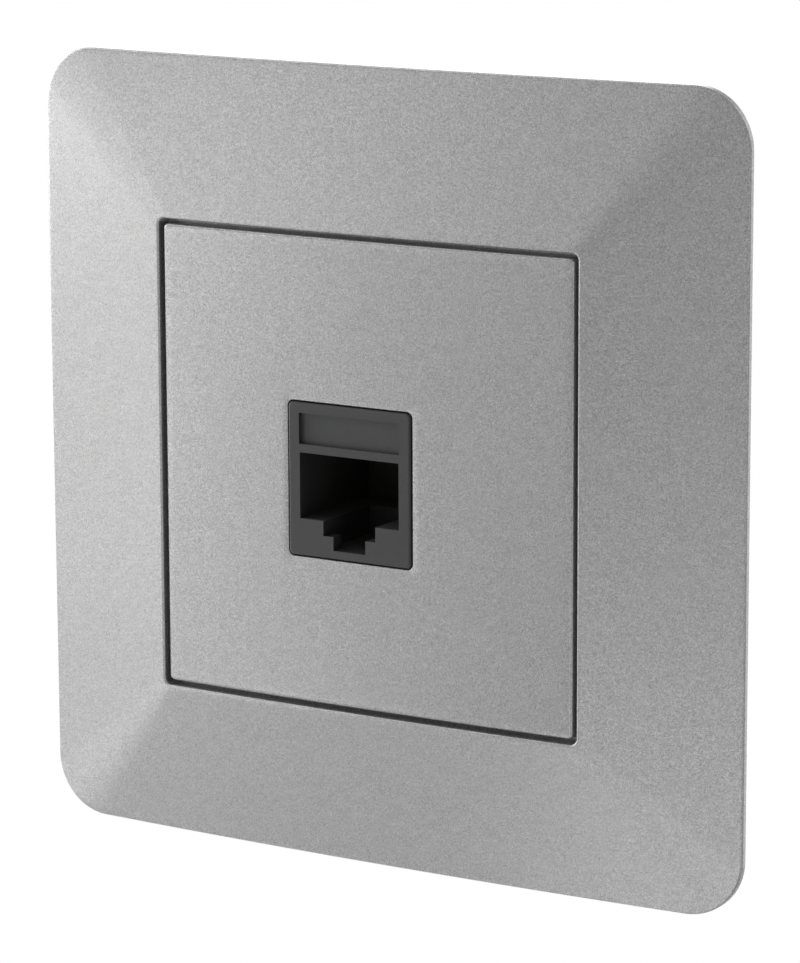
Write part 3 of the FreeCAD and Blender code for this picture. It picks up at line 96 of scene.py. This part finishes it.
# Jack and termination block
JACK_X = -1.45
JACK_Z = -0.85
JACK_HEIGHT = 16.0
JACK_PROUD = 0.12
PLUG_X = 5.925
PLUG_LOW = -7.11
PLUG_HIGH = 2.8
BLOCK_WIDTH = 16.2

# Labels on the termination block, which only this script makes
LABEL_FOOT = 11.3
LABEL_WIDTH = 4.4
LABEL_LENGTH = 16.4
LABEL_THICKNESS = 0.08

# Claw screws, with threads that only this script makes
SCREW_X = 23.0
THREAD_PITCH = 0.5
THREAD_TURNS = 36
THREAD_START = 0.8
THREAD_ROOT = 1.47
THREAD_RISE = 0.16
THREAD_FOOT = 0.21

# Sizes that follow from those above
BORDER = HALF - OPENING
RIM = RIM_HEIGHT + (2 * HALF) ** 2 / (8 * CROWN)
CREST = RIM + CREST_RISE
RISE = CREST_RISE / BORDER
SIDE_RISE = (CREST - (2 * OPENING) ** 2 / (8 * CROWN) - RIM_HEIGHT) / BORDER
PLATE_TOP = CREST - PLATE_DROP
PLATE_SEAT = PLATE_TOP - PLATE_THICKNESS
LEDGE_FOOT = PLATE_SEAT - LEDGE_THICKNESS
COLLAR = OPENING + COLLAR_WALL
SKIRT = HALF - RIM_INSET - SKIRT_WALL
JACK_FACE = PLATE_TOP + JACK_PROUD
HOOK_Z = OPENING - LEDGE_WIDTH - HOOK_CATCH - HOOK_CLEAR
HOOK_NOSE = HOOK_TIP / 3

# Ribs, bars and hooks start this far inside the wall that they grow from
SINK = 0.2
# Margin round the plug opening, and the depth at which the painted shade inside it starts
EDGE = 0.1

# Mesh density: points a side, an arc and a turn, and steps between rings
STRAIGHT = 72
ARC = 16
THREAD_STEPS = 24
RIM_STEPS = 8
SLOPE_STEPS = 44
CEILING_STEPS = 10
PLATE_EDGE_STEPS = 5
PLATE_STEPS = 24
LIP_STEPS = 3

# Edges that turn by more degrees than this stay sharp
SHARP = 35.0
THREAD_SHARP = 25.0

# Sockets of the Mix node when it mixes colours
MIX_FACTOR = 0
MIX_FIRST = 6
MIX_SECOND = 7
MIX_RESULT = 2


# Shader nodes

def add_node(tree, kind, inputs=None, **settings):
    """New shader node with its settings, its input values and its incoming links."""
    item = tree.nodes.new("ShaderNode" + kind)
    for key, setting in settings.items():
        setattr(item, key, setting)
    for key, source in (inputs or {}).items():
        if isinstance(source, bpy.types.NodeSocket):
            tree.links.new(source, item.inputs[key])
        else:
            item.inputs[key].default_value = source
    return item


def empty_tree(owner, kind):
    """Cleared node tree of a material or world, and the surface socket of its output."""
    owner.use_nodes = True
    tree = owner.node_tree
    tree.nodes.clear()
    return tree, add_node(tree, kind).inputs["Surface"]


def start_material(name):
    """Material with an empty tree, its principled shader and the object's coordinates."""
    material = bpy.data.materials.new(name)
    tree, surface = empty_tree(material, "OutputMaterial")
    shader = add_node(tree, "BsdfPrincipled")
    tree.links.new(shader.outputs["BSDF"], surface)
    place = add_node(tree, "TexCoord").outputs["Object"]
    return material, tree, shader, place


def maths(tree, operation, *values):
    """Result of one arithmetic step on patterns and numbers."""
    return add_node(tree, "Math", dict(enumerate(values)), operation=operation).outputs["Value"]


def noise(tree, place, scale, detail=2.0, roughness=0.5):
    """Noise pattern between 0 and 1, its scale in cells a metre."""
    return add_node(tree, "TexNoise", {
        "Vector": place, "Scale": scale, "Detail": detail, "Roughness": roughness}).outputs["Fac"]


def spread(tree, factor, low, high, start=0.3, end=0.7):
    """Number between low and high that follows a pattern from start to end."""
    return add_node(tree, "MapRange", {
        "Value": factor, "From Min": start, "From Max": end, "To Min": low, "To Max": high},
        clamp=True).outputs["Result"]


def tint(tree, factor, first, second):
    """Colour between two colours, or patterns of colour, that follows a pattern."""
    mix = add_node(tree, "Mix", {MIX_FACTOR: factor, MIX_FIRST: first, MIX_SECOND: second},
                   data_type="RGBA")
    return mix.outputs[MIX_RESULT]


def scaled(colour, factor=1.0):
    """Opaque colour made darker or lighter."""
    return (*(channel * factor for channel in colour), 1.0)


def finish_surface(tree, shader, sockets, height, depth, strength):
    """Patterns linked to a shader, and a fine relief with its depth in metres."""
    for key, source in sockets.items():
        tree.links.new(source, shader.inputs[key])
    bump = add_node(tree, "Bump", {"Height": height, "Distance": depth, "Strength": strength})
    tree.links.new(bump.outputs["Normal"], shader.inputs["Normal"])


# Materials

def metallic_paint(name, colour):
    """Silver-grey plastic with fine flakes under a satin surface."""
    material, tree, shader, place = start_material(name)
    flakes = add_node(tree, "TexVoronoi", {"Vector": place, "Scale": 10500.0}).outputs["Color"]
    flake = add_node(tree, "SeparateColor", {"Color": flakes}).outputs["Red"]
    fine = noise(tree, place, scale=7600.0, roughness=0.6)
    shade = spread(tree, maths(tree, "ADD", flake, fine), low=0.0, high=1.0, start=0.35, end=1.65)
    finish_surface(tree, shader, {
        "Base Color": tint(tree, shade, scaled(colour, 0.68), scaled(colour, 1.32)),
        "Roughness": spread(tree, fine, low=0.24, high=0.32),
        "Metallic": spread(tree, shade, low=0.32, high=0.58, start=0.0, end=1.0),
    }, fine, depth=0.00003, strength=0.10)
    return material


def moulded_plastic(name, colour, roughness=0.5, relief=0.25, scale=3000.0):
    """Moulded plastic with a fine texture and faint flow marks."""
    material, tree, shader, place = start_material(name)
    fine = noise(tree, place, scale, detail=3.0, roughness=0.6)
    cloud = noise(tree, place, scale=130.0)
    shade = spread(tree, maths(tree, "ADD", fine, cloud), low=0.0, high=1.0, start=0.6, end=1.4)
    finish_surface(tree, shader, {
        "Base Color": tint(tree, shade, scaled(colour, 0.86), scaled(colour, 1.14)),
        "Roughness": spread(tree, cloud, low=roughness - 0.05, high=roughness + 0.07),
    }, fine, depth=0.00003, strength=relief)
    return material


def jack_plastic_with_painted_shade(name, colour, inside):
    """Moulded plastic that is darker and duller inside the plug opening, as painted shade there."""
    material = moulded_plastic(name, colour)
    tree = material.node_tree
    shader = next(item for item in tree.nodes if item.type == "BSDF_PRINCIPLED")
    place = next(item for item in tree.nodes if item.type == "TEX_COORD").outputs["Object"]
    along = add_node(tree, "SeparateXYZ", {"Vector": place}).outputs
    middle = JACK_Z + (PLUG_LOW + PLUG_HIGH) / 2
    reach = (PLUG_HIGH - PLUG_LOW) / 2
    across = maths(tree, "COMPARE", along["X"], JACK_X * MM, (PLUG_X + EDGE) * MM)
    upright = maths(tree, "COMPARE", along["Z"], middle * MM, (reach + EDGE) * MM)
    window = maths(tree, "MULTIPLY", across, upright)
    # Painted shade: past a small depth in the plug opening the base colour turns darker and the specular
    # level drops
    painted_shade_depth = spread(tree, along["Y"], low=0.0, high=1.0,
                  start=(EDGE - JACK_FACE) * MM, end=(4 * EDGE - JACK_FACE) * MM)
    factor = maths(tree, "MULTIPLY", window, painted_shade_depth)
    face = shader.inputs["Base Color"].links[0].from_socket
    tree.links.new(tint(tree, factor, face, scaled(inside)), shader.inputs["Base Color"])
    tree.links.new(spread(tree, factor, low=0.3, high=0.16, start=0.0, end=1.0),
                   shader.inputs["Specular IOR Level"])
    return material


def plated_metal(name, colour, roughness=0.34, stretch=(1.0, 1.0, 1.0)):
    """Plated metal with rolling lines and cloudy bright and dull places."""
    material, tree, shader, place = start_material(name)
    lined = add_node(tree, "Mapping", {"Vector": place, "Scale": stretch}).outputs["Vector"]
    lines = noise(tree, lined, scale=900.0, detail=3.0, roughness=0.6)
    cloud = noise(tree, place, scale=160.0, detail=3.0, roughness=0.55)
    shade = spread(tree, maths(tree, "ADD", lines, cloud), low=0.0, high=1.0, start=0.6, end=1.4)
    shader.inputs["Metallic"].default_value = 1.0
    finish_surface(tree, shader, {
        "Base Color": tint(tree, shade, scaled(colour, 0.90), scaled(colour, 1.08)),
        "Roughness": spread(tree, cloud, low=roughness - 0.03, high=roughness + 0.05),
    }, lines, depth=0.00001, strength=0.35)
    return material


def code_print(name, colours):
    """Printed label with fields of colour one above the other."""
    material, tree, shader, place = start_material(name)
    height = add_node(tree, "SeparateXYZ", {"Vector": place}).outputs["Z"]
    share = spread(tree, height, low=0.0, high=1.0,
                   start=(JACK_Z - LABEL_LENGTH / 2) * MM, end=(JACK_Z + LABEL_LENGTH / 2) * MM)
    ramp = add_node(tree, "ValToRGB", {"Fac": share})
    fields = ramp.color_ramp
    fields.interpolation = "CONSTANT"
    for i, colour in enumerate(colours):
        field = fields.elements.new(i / len(colours)) if i else fields.elements[0]
        field.color = scaled(colour)
    fine = noise(tree, place, scale=3000.0)
    finish_surface(tree, shader, {
        "Base Color": ramp.outputs["Color"],
        "Roughness": spread(tree, fine, low=0.38, high=0.50),
    }, fine, depth=0.00001, strength=0.1)
    return material


SILVER = (0.33, 0.33, 0.33)
JACK_GREY = (0.050, 0.0505, 0.051)
# Darker colour of the painted shade inside the plug opening
JACK_PAINTED_SHADE = (0.042, 0.042, 0.042)
BLACK = (0.02, 0.02, 0.022)
CARRIER_GREY = (0.30, 0.31, 0.32)
CAP_GREY = (0.52, 0.53, 0.52)
BOARD_GREEN = (0.02, 0.13, 0.05)
ZINC_LIGHT = (0.42, 0.43, 0.44)
ZINC_DARK = (0.33, 0.34, 0.35)
STEEL = (0.60, 0.57, 0.48)
GOLD = (0.83, 0.60, 0.24)
TIN = (0.64, 0.63, 0.60)
PAPER = (0.60, 0.60, 0.58)
BLUE = (0.03, 0.10, 0.42)
ORANGE = (0.62, 0.20, 0.03)
GREEN = (0.03, 0.25, 0.07)
BROWN = (0.16, 0.07, 0.03)
WIRE_CODE = (BROWN, PAPER, GREEN, PAPER, ORANGE, PAPER, BLUE, PAPER)
MATERIALS = {
    "silver_plastic": metallic_paint("silver_plastic", SILVER),
    # dark_plastic carries painted shade inside the plug opening
    "dark_plastic": jack_plastic_with_painted_shade("dark_plastic", JACK_GREY, JACK_PAINTED_SHADE),
    "black_plastic": moulded_plastic("black_plastic", BLACK, roughness=0.45),
    "carrier_plastic": moulded_plastic("carrier_plastic", CARRIER_GREY, roughness=0.48),
    "cap_plastic": moulded_plastic("cap_plastic", CAP_GREY, roughness=0.42, relief=0.1),
    "board_laminate": moulded_plastic("board_laminate", BOARD_GREEN, roughness=0.3, relief=0.15,
                                      scale=900.0),
    "zinc_sheet": plated_metal("zinc_sheet", ZINC_LIGHT, roughness=0.38, stretch=(1.0, 1.0, 12.0)),
    "zinc_strip": plated_metal("zinc_strip", ZINC_DARK, roughness=0.34, stretch=(1.0, 1.0, 10.0)),
    "screw_steel": plated_metal("screw_steel", STEEL, roughness=0.28),
    "contact_gold": plated_metal("contact_gold", GOLD, roughness=0.22),
    "blade_tin": plated_metal("blade_tin", TIN, roughness=0.3),
    "code_print": code_print("code_print", WIRE_CODE),
}


# Heights of the bowed mouldings

def slopes(x, z):
    """Heights of the bowed front and of the side slope before they meet."""
    upright = RIM + RISE * (HALF - abs(z))
    bowed = math.sqrt((CROWN - RIM + upright) ** 2 - x * x) - (CROWN - RIM)
    side = RIM_HEIGHT + SIDE_RISE * (HALF - abs(x))
    return bowed, side


def front_height(x, z):
    """Front of the cover frame, with mitres that soften outwards."""
    bowed, side = slopes(x, z)
    start = OPENING - ROOF_INSET
    along = ((abs(x) + abs(z)) / 2 - start) / (HALF + ROOF_BEYOND - start)
    radius = CREASE_INNER + (CREASE_OUTER - CREASE_INNER) * max(0.0, along)
    turn = (SIDE_RISE - abs(x) / CROWN) ** 2 + RISE ** 2
    room = radius * turn / 2
    near = max(room - abs(bowed - side), 0.0)
    return min(bowed, side) - near * near / (4 * room)


def ceiling_height(x, z):
    """Hollow back of the cover frame."""
    return min(slopes(x, z)) - FRAME_WALL


def plate_height(x, z):
    """Front of the centre plate."""
    radius = CROWN + CREST_RISE - PLATE_DROP
    return math.sqrt(radius ** 2 - x * x) - CROWN + RIM


# Rings, blocks and pieces

def outline(half_x, half_z, radius, middle=(0.0, 0.0)):
    """Points of a rounded rectangle, the same number for every size."""
    points = []
    corners = ((1, 1), (-1, 1), (-1, -1), (1, -1))
    arcs = []
    for turn, (sx, sz) in enumerate(corners):
        cx = middle[0] + sx * (half_x - radius)
        cz = middle[1] + sz * (half_z - radius)
        angles = [math.radians(90 * turn + 90 * i / ARC) for i in range(ARC + 1)]
        arcs.append([(cx + radius * math.cos(a), cz + radius * math.sin(a)) for a in angles])
    for arc, following in zip(arcs, arcs[1:] + arcs[:1]):
        points += arc
        (x0, z0), (x1, z1) = arc[-1], following[0]
        for i in range(1, STRAIGHT):
            share = i / STRAIGHT
            points.append((x0 + (x1 - x0) * share, z0 + (z1 - z0) * share))
    return points


def square(half, radius):
    """Points of a rounded square round the middle of the outlet."""
    return outline(half, half, radius)


def lifted(points, height):
    """Ring of points at a height that is a number or follows a front."""
    level = height if callable(height) else (lambda x, z: height)
    return [(x, level(x, z), z) for x, z in points]


def rounded_edge(edge, inside, height, run, steps, upward):
    """Rings round a front edge between an upright wall and a front face."""
    rings = []
    for i in range(steps + 1):
        s = i / steps if upward else 1 - i / steps
        ring = []
        for (x0, z0), (x1, z1) in zip(edge, inside):
            x = x0 + (x1 - x0) * s * s
            z = z0 + (z1 - z0) * s * s
            top = height(x0, z0)
            level = (1 - s) ** 2 * (top - run) + 2 * s * (1 - s) * top + s * s * height(x1, z1)
            ring.append((x, level, z))
        rings.append(ring)
    return rings


def between(low, high, count):
    """Numbers between two ends, without the ends."""
    return [low + (high - low) * i / count for i in range(1, count)]


def loop_mesh(mesh, rings):
    """Closed skin through rings of equal count, added to a mesh being built."""
    rows = [[mesh.verts.new((x * MM, -h * MM, z * MM)) for x, h, z in ring] for ring in rings]
    for row, following in zip(rows, rows[1:] + rows[:1]):
        count = len(row)
        for i in range(count):
            j = (i + 1) % count
            mesh.faces.new((row[i], row[j], following[j], following[i]))


def prism(mesh, corners, low, high, axis):
    """Closed block with a flat outline, run along X or Z, added to a mesh being built."""
    ends = []
    for place in (low, high):
        if axis == "x":
            ends.append([mesh.verts.new((place * MM, -h * MM, a * MM)) for a, h in corners])
        else:
            ends.append([mesh.verts.new((a * MM, -h * MM, place * MM)) for a, h in corners])
    first, last = ends
    mesh.faces.new(first)
    mesh.faces.new(last[::-1])
    count = len(corners)
    for i in range(count):
        j = (i + 1) % count
        mesh.faces.new((first[i], first[j], last[j], last[i]))


def make_piece(name, mesh, body, slot, sharp=SHARP):
    """Object of a built mesh that rides on a body, smooth but for its sharp edges."""
    bmesh.ops.recalc_face_normals(mesh, faces=mesh.faces)
    data = bpy.data.meshes.new(name)
    mesh.to_mesh(data)
    mesh.free()
    data.shade_smooth()
    data.set_sharp_from_angle(angle=math.radians(sharp))
    data.materials.append(MATERIALS[slot])
    item = bpy.data.objects.new(name, data)
    bpy.context.scene.collection.objects.link(item)
    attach(item, body)
    return item


# Cover frame

def front_rings():
    """Rings from the wall over the rim and the slopes into the opening."""
    outer = square(HALF, CORNER)
    rings = [lifted(square(HALF - RIM_INSET, CORNER - RIM_INSET), 0.0), lifted(outer, RIM_INSET)]
    wide, wide_corner = HALF - RIM_RUN, CORNER - RIM_RUN
    narrow, narrow_corner = OPENING + CREST_RUN, OPENING_CORNER + CREST_RUN
    rings += rounded_edge(outer, square(wide, wide_corner), front_height, RIM_RUN, RIM_STEPS, True)
    for half in between(wide, narrow, SLOPE_STEPS):
        share = (half - narrow) / (wide - narrow)
        radius = wide_corner * share + narrow_corner * (1 - share)
        rings.append(lifted(square(half, radius), front_height))
    edge = square(OPENING, OPENING_CORNER)
    rings += rounded_edge(edge, square(narrow, narrow_corner), front_height, CREST_RUN, RIM_STEPS, False)
    rings.append(lifted(edge, PLATE_SEAT))
    return rings


def back_rings():
    """Rings from the ledge round the collar and along the hollow back to the wall."""
    through = square(OPENING - LEDGE_WIDTH, INNER_CORNER)
    collar = square(COLLAR, INNER_CORNER)
    skirt_corner = CORNER - SKIRT_WALL
    rings = [lifted(through, PLATE_SEAT), lifted(through, LEDGE_FOOT),
             lifted(collar, LEDGE_FOOT), lifted(collar, ceiling_height)]
    for half in between(COLLAR, SKIRT, CEILING_STEPS):
        share = (half - COLLAR) / (SKIRT - COLLAR)
        radius = INNER_CORNER + (skirt_corner - INNER_CORNER) * share
        rings.append(lifted(square(half, radius), ceiling_height))
    skirt = square(SKIRT, skirt_corner)
    rings += [lifted(skirt, ceiling_height), lifted(skirt, 0.0)]
    return rings


def ribs(mesh):
    """Ribs between the collar and the skirt, two on each side."""
    low, high = COLLAR - SINK, SKIRT + SINK
    for side in (-1, 1):
        for offset in (-RIB_OFFSET, RIB_OFFSET):
            for axis in ("x", "z"):
                near, far = [ceiling_height(0, a) if axis == "x" else ceiling_height(a, 0)
                             for a in (low, high)]
                corners = [(side * low, RIB_LIFT), (side * high, RIB_LIFT),
                           (side * high, far + SINK), (side * low, near + SINK)]
                prism(mesh, corners, offset - RIB_THICKNESS / 2, offset + RIB_THICKNESS / 2, axis)


def cover_skin():
    """Sloped cover frame with its hollow back, collar, ledge and ribs."""
    mesh = bmesh.new()
    loop_mesh(mesh, front_rings() + back_rings())
    ribs(mesh)
    piece = make_piece("cover_frame_skin", mesh, "outlet", "silver_plastic")
    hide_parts("cover_frame")


# Centre plate

def plate_rings():
    """Rings over the plate's edge and front to the jack window and down into it."""
    outer = square(PLATE, PLATE_CORNER)
    inside = square(PLATE - PLATE_ROUND, PLATE_CORNER - PLATE_ROUND)
    middle = (JACK_X, JACK_Z)
    window = outline(WINDOW_X, WINDOW_Z, WINDOW_CORNER, middle)
    around = outline(WINDOW_X + WINDOW_LIP, WINDOW_Z + WINDOW_LIP, WINDOW_CORNER + WINDOW_LIP, middle)
    rings = [lifted(outer, PLATE_SEAT)]
    rings += rounded_edge(outer, inside, plate_height, PLATE_ROUND, PLATE_EDGE_STEPS, True)
    for share in between(0.0, 1.0, PLATE_STEPS):
        points = [(x0 + (x1 - x0) * share, z0 + (z1 - z0) * share)
                  for (x0, z0), (x1, z1) in zip(inside, around)]
        rings.append(lifted(points, plate_height))
    rings += rounded_edge(window, around, plate_height, WINDOW_LIP, LIP_STEPS, False)
    rings.append(lifted(window, PLATE_SEAT))
    return rings


def guide_bar(mesh, side):
    """Bar beside the jack window that guides the jack."""
    middle = JACK_X + side * (WINDOW_X + GUIDE_WALL / 2)
    low, high = JACK_Z - JACK_HEIGHT / 2, JACK_Z + JACK_HEIGHT / 2
    root, foot = PLATE_SEAT + SINK, PLATE_SEAT - GUIDE_DEPTH
    corners = [(low, root), (high, root), (high, foot), (low, foot)]
    prism(mesh, corners, middle - GUIDE_WALL / 2, middle + GUIDE_WALL / 2, "x")


def snap_hook(mesh, side, x):
    """Hook that reaches through the support and catches behind it."""
    root, catch, tip = PLATE_SEAT + SINK, -HOOK_PLAY, -(HOOK_PLAY + HOOK_TIP)
    inner, outer = side * (HOOK_Z - HOOK_THICKNESS), side * HOOK_Z
    barb = side * (HOOK_Z + HOOK_CATCH)
    corners = [(inner, root), (inner, tip), (outer, tip), (barb, catch - HOOK_NOSE),
               (barb, catch), (outer, catch), (outer, root)]
    prism(mesh, corners, x - HOOK_WIDTH / 2, x + HOOK_WIDTH / 2, "x")


def plate_skin():
    """Bowed centre plate with the jack window, guide bars and hooks."""
    mesh = bmesh.new()
    loop_mesh(mesh, plate_rings())
    for side in (-1, 1):
        guide_bar(mesh, side)
        for x in (-HOOK_X, HOOK_X):
            snap_hook(mesh, side, x)
    piece = make_piece("centre_plate_skin", mesh, "outlet", "silver_plastic")
    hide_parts("centre_plate")


# Screw threads and labels

def thread(name, x, body):
    """Helical ridge on the shank of a claw screw, fading out at both ends."""
    mesh = bmesh.new()
    last = THREAD_STEPS * THREAD_TURNS
    rows = []
    for i in range(last + 1):
        angle = 2 * math.pi * i / THREAD_STEPS
        depth = THREAD_START + THREAD_PITCH * i / THREAD_STEPS
        fade = min(1.0, i / THREAD_STEPS, (last - i) / THREAD_STEPS)
        ridge = THREAD_ROOT + THREAD_RISE * fade
        row = []
        for reach, shift in ((THREAD_ROOT, -THREAD_FOOT), (ridge, 0.0), (THREAD_ROOT, THREAD_FOOT)):
            row.append(mesh.verts.new(((x + reach * math.cos(angle)) * MM, (depth + shift) * MM,
                                       reach * math.sin(angle) * MM)))
        rows.append(row)
    for row, following in zip(rows, rows[1:]):
        for i in (0, 1):
            mesh.faces.new((row[i], row[i + 1], following[i + 1], following[i]))
    make_piece(name, mesh, body, "screw_steel", THREAD_SHARP)


def code_label(name, side):
    """Colour code of the wires on one side of the termination block."""
    mesh = bmesh.new()
    face = JACK_X + side * BLOCK_WIDTH / 2
    inner, outer = face - side * LABEL_THICKNESS / 2, face + side * LABEL_THICKNESS
    foot, top = -LABEL_FOOT, -(LABEL_FOOT + LABEL_WIDTH)
    corners = [(inner, foot), (outer, foot), (outer, top), (inner, top)]
    prism(mesh, corners, JACK_Z - LABEL_LENGTH / 2, JACK_Z + LABEL_LENGTH / 2, "z")
    make_piece(name, mesh, "outlet", "code_print")


cover_skin()
plate_skin()
code_label("code_label_left", -1)
code_label("code_label_right", 1)
thread("screw_thread_left", -SCREW_X, "left_claw_screw")
thread("screw_thread_right", SCREW_X, "right_claw_screw")

for part in frame["record"]["subparts"]:
    cad = nodes[part["node"]]
    cad.data.materials.clear()
    cad.data.materials.append(MATERIALS[part["material_slot"]])


# Camera at the photograph's place

SENSOR_WIDTH = 36.0
CLIP_START = 0.01
CLIP_END = 20.0


def direction(azimuth, elevation):
    """Unit vector from the outlet by angles in degrees, azimuth 0 straight in front of it."""
    a, e = math.radians(azimuth), math.radians(elevation)
    return Vector((math.sin(a) * math.cos(e), -math.cos(a) * math.cos(e), math.sin(e)))


def look(azimuth, elevation, roll, distance, target, lens):
    """Camera round a target, angles in degrees and lengths in millimetres."""
    a, r = math.radians(azimuth), math.radians(roll)
    back = direction(azimuth, elevation)
    right = Vector((math.cos(a), math.sin(a), 0))
    up = back.cross(right)
    across = right * math.cos(r) + up * math.sin(r)
    upward = up * math.cos(r) - right * math.sin(r)
    data = bpy.data.cameras.new("photo_camera")
    data.lens = lens
    data.sensor_width = SENSOR_WIDTH
    data.clip_start = CLIP_START
    data.clip_end = CLIP_END
    camera = bpy.data.objects.new("photo_camera", data)
    place = (Vector(target) + back * distance) * MM
    camera.matrix_world = Matrix((
        (across.x, upward.x, back.x, place.x), (across.y, upward.y, back.y, place.y),
        (across.z, upward.z, back.z, place.z), (0, 0, 0, 1)))
    bpy.context.scene.collection.objects.link(camera)
    bpy.context.scene.camera = camera


look(azimuth=31.445, elevation=11.66, roll=-0.231, distance=446.2,
     target=(2.813, -3.938, -0.585), lens=163.78)


# Lamps, with distances and sizes in metres

FAR = 0.6
NEAR = 0.2
BEHIND = 0.8
WIDE = (0.35, 0.30)
SMALL = (0.12, 0.12)
STRIP = (0.12, 0.30)
LONG_STRIP = (0.12, 0.32)
UPRIGHT = (0.20, 0.30)
SQUARE = (0.25, 0.25)
LARGE = (0.6, 0.6)


def softbox(name, azimuth, elevation, distance, size, power):
    """Area lamp aimed at the outlet, angles in degrees and power in watts."""
    back = direction(azimuth, elevation)
    data = bpy.data.lights.new(name, "AREA")
    data.shape = "RECTANGLE"
    data.size, data.size_y = size
    data.energy = power
    lamp = bpy.data.objects.new(name, data)
    lamp.location = back * distance
    lamp.visible_camera = False
    lamp.rotation_mode = "QUATERNION"
    lamp.rotation_quaternion = back.to_track_quat("Z", "Y")
    bpy.context.scene.collection.objects.link(lamp)


softbox("left_side", -85, 10, FAR, WIDE, 3.2)
softbox("left_high", -80, 30, FAR, WIDE, 0.7)
softbox("top_round", -70, 55, FAR, WIDE, 0.55)
softbox("left_under", -85, -30, FAR, WIDE, 0.3)
softbox("left_low", -50, -30, FAR, WIDE, 0.45)
softbox("left_near", -60, 0, NEAR, SMALL, 0.042)
softbox("left_strip", -42, 0, FAR, LONG_STRIP, 0.14)
softbox("front_strip", -34, 8, FAR, STRIP, 0.055)
softbox("front_wide", -35, 10, FAR, WIDE, 0.10)
softbox("low_near", 0, -50, NEAR, SMALL, 0.040)
softbox("right_low", 10, -30, FAR, WIDE, 0.42)
softbox("right_round", 59, -12, FAR, UPRIGHT, 0.16)
softbox("right_edge", 148, -10, FAR, UPRIGHT, 0.22)
softbox("top_edge", -148, 12, FAR, SQUARE, 0.12)
softbox("back_left", -140, 25, BEHIND, LARGE, 1.3)
softbox("back_right", 140, 25, BEHIND, LARGE, 1.3)


# White surroundings

WHITE = (1, 1, 1, 1)
FLOOR_COLOUR = (0.86, 0.86, 0.86, 1)
FLOOR_HALF = 4.0
FLOOR_CELLS = 8
SHADOW_RADIUS = 0.2
WHITE_RADIUS = 0.6
SHADOW_GLOW = 0.3


def mixed(tree, factor, first, second):
    """Shader between two shaders that follows a pattern."""
    return add_node(tree, "MixShader", {0: factor, 1: first, 2: second}).outputs[0]


def glow(tree, kind, strength):
    """White light of a world or a surface."""
    return add_node(tree, kind, {"Color": WHITE, "Strength": strength}).outputs[0]


def seen_directly(tree):
    """1 for rays of the camera and of mirrored or clear surfaces, 0 for light that spreads."""
    path = add_node(tree, "LightPath").outputs
    shown = path["Is Camera Ray"]
    for ray in ("Is Glossy Ray", "Is Transmission Ray"):
        shown = maths(tree, "MAXIMUM", shown, path[ray])
    return shown


def white_world(strength):
    """World that lights at a plain level and shows white behind the outlet."""
    world = bpy.data.worlds.new("studio")
    tree, surface = empty_tree(world, "OutputWorld")
    soft = glow(tree, "Background", strength)
    white = glow(tree, "Background", 1.0)
    tree.links.new(mixed(tree, seen_directly(tree), soft, white), surface)
    bpy.context.scene.world = world


def floor_paper():
    """Pale paper that keeps the outlet's shadow and runs out to white."""
    material = bpy.data.materials.new("floor_paper")
    tree, surface = empty_tree(material, "OutputMaterial")
    place = add_node(tree, "TexCoord").outputs["Object"]
    radius = add_node(tree, "VectorMath", {0: place}, operation="LENGTH").outputs["Value"]
    away = spread(tree, radius, low=0.0, high=1.0, start=SHADOW_RADIUS, end=WHITE_RADIUS)
    paper = add_node(tree, "BsdfDiffuse", {"Color": FLOOR_COLOUR}).outputs[0]
    faint = glow(tree, "Emission", SHADOW_GLOW)
    lit_paper = add_node(tree, "AddShader", {0: paper, 1: faint}).outputs[0]
    shown = mixed(tree, away, lit_paper, glow(tree, "Emission", 1.0))
    tree.links.new(mixed(tree, seen_directly(tree), paper, shown), surface)
    return material


def white_floor(level):
    """Floor below the outlet, at a height in metres."""
    mesh = bmesh.new()
    bmesh.ops.create_grid(mesh, x_segments=FLOOR_CELLS, y_segments=FLOOR_CELLS, size=FLOOR_HALF)
    data = bpy.data.meshes.new("floor")
    mesh.to_mesh(data)
    mesh.free()
    data.materials.append(floor_paper())
    floor = bpy.data.objects.new("floor", data)
    floor.location = (0, 0, level)
    bpy.context.scene.collection.objects.link(floor)


white_world(strength=0.10)
white_floor(level=-0.30)

bpy.context.scene.view_settings.view_transform = "Standard"
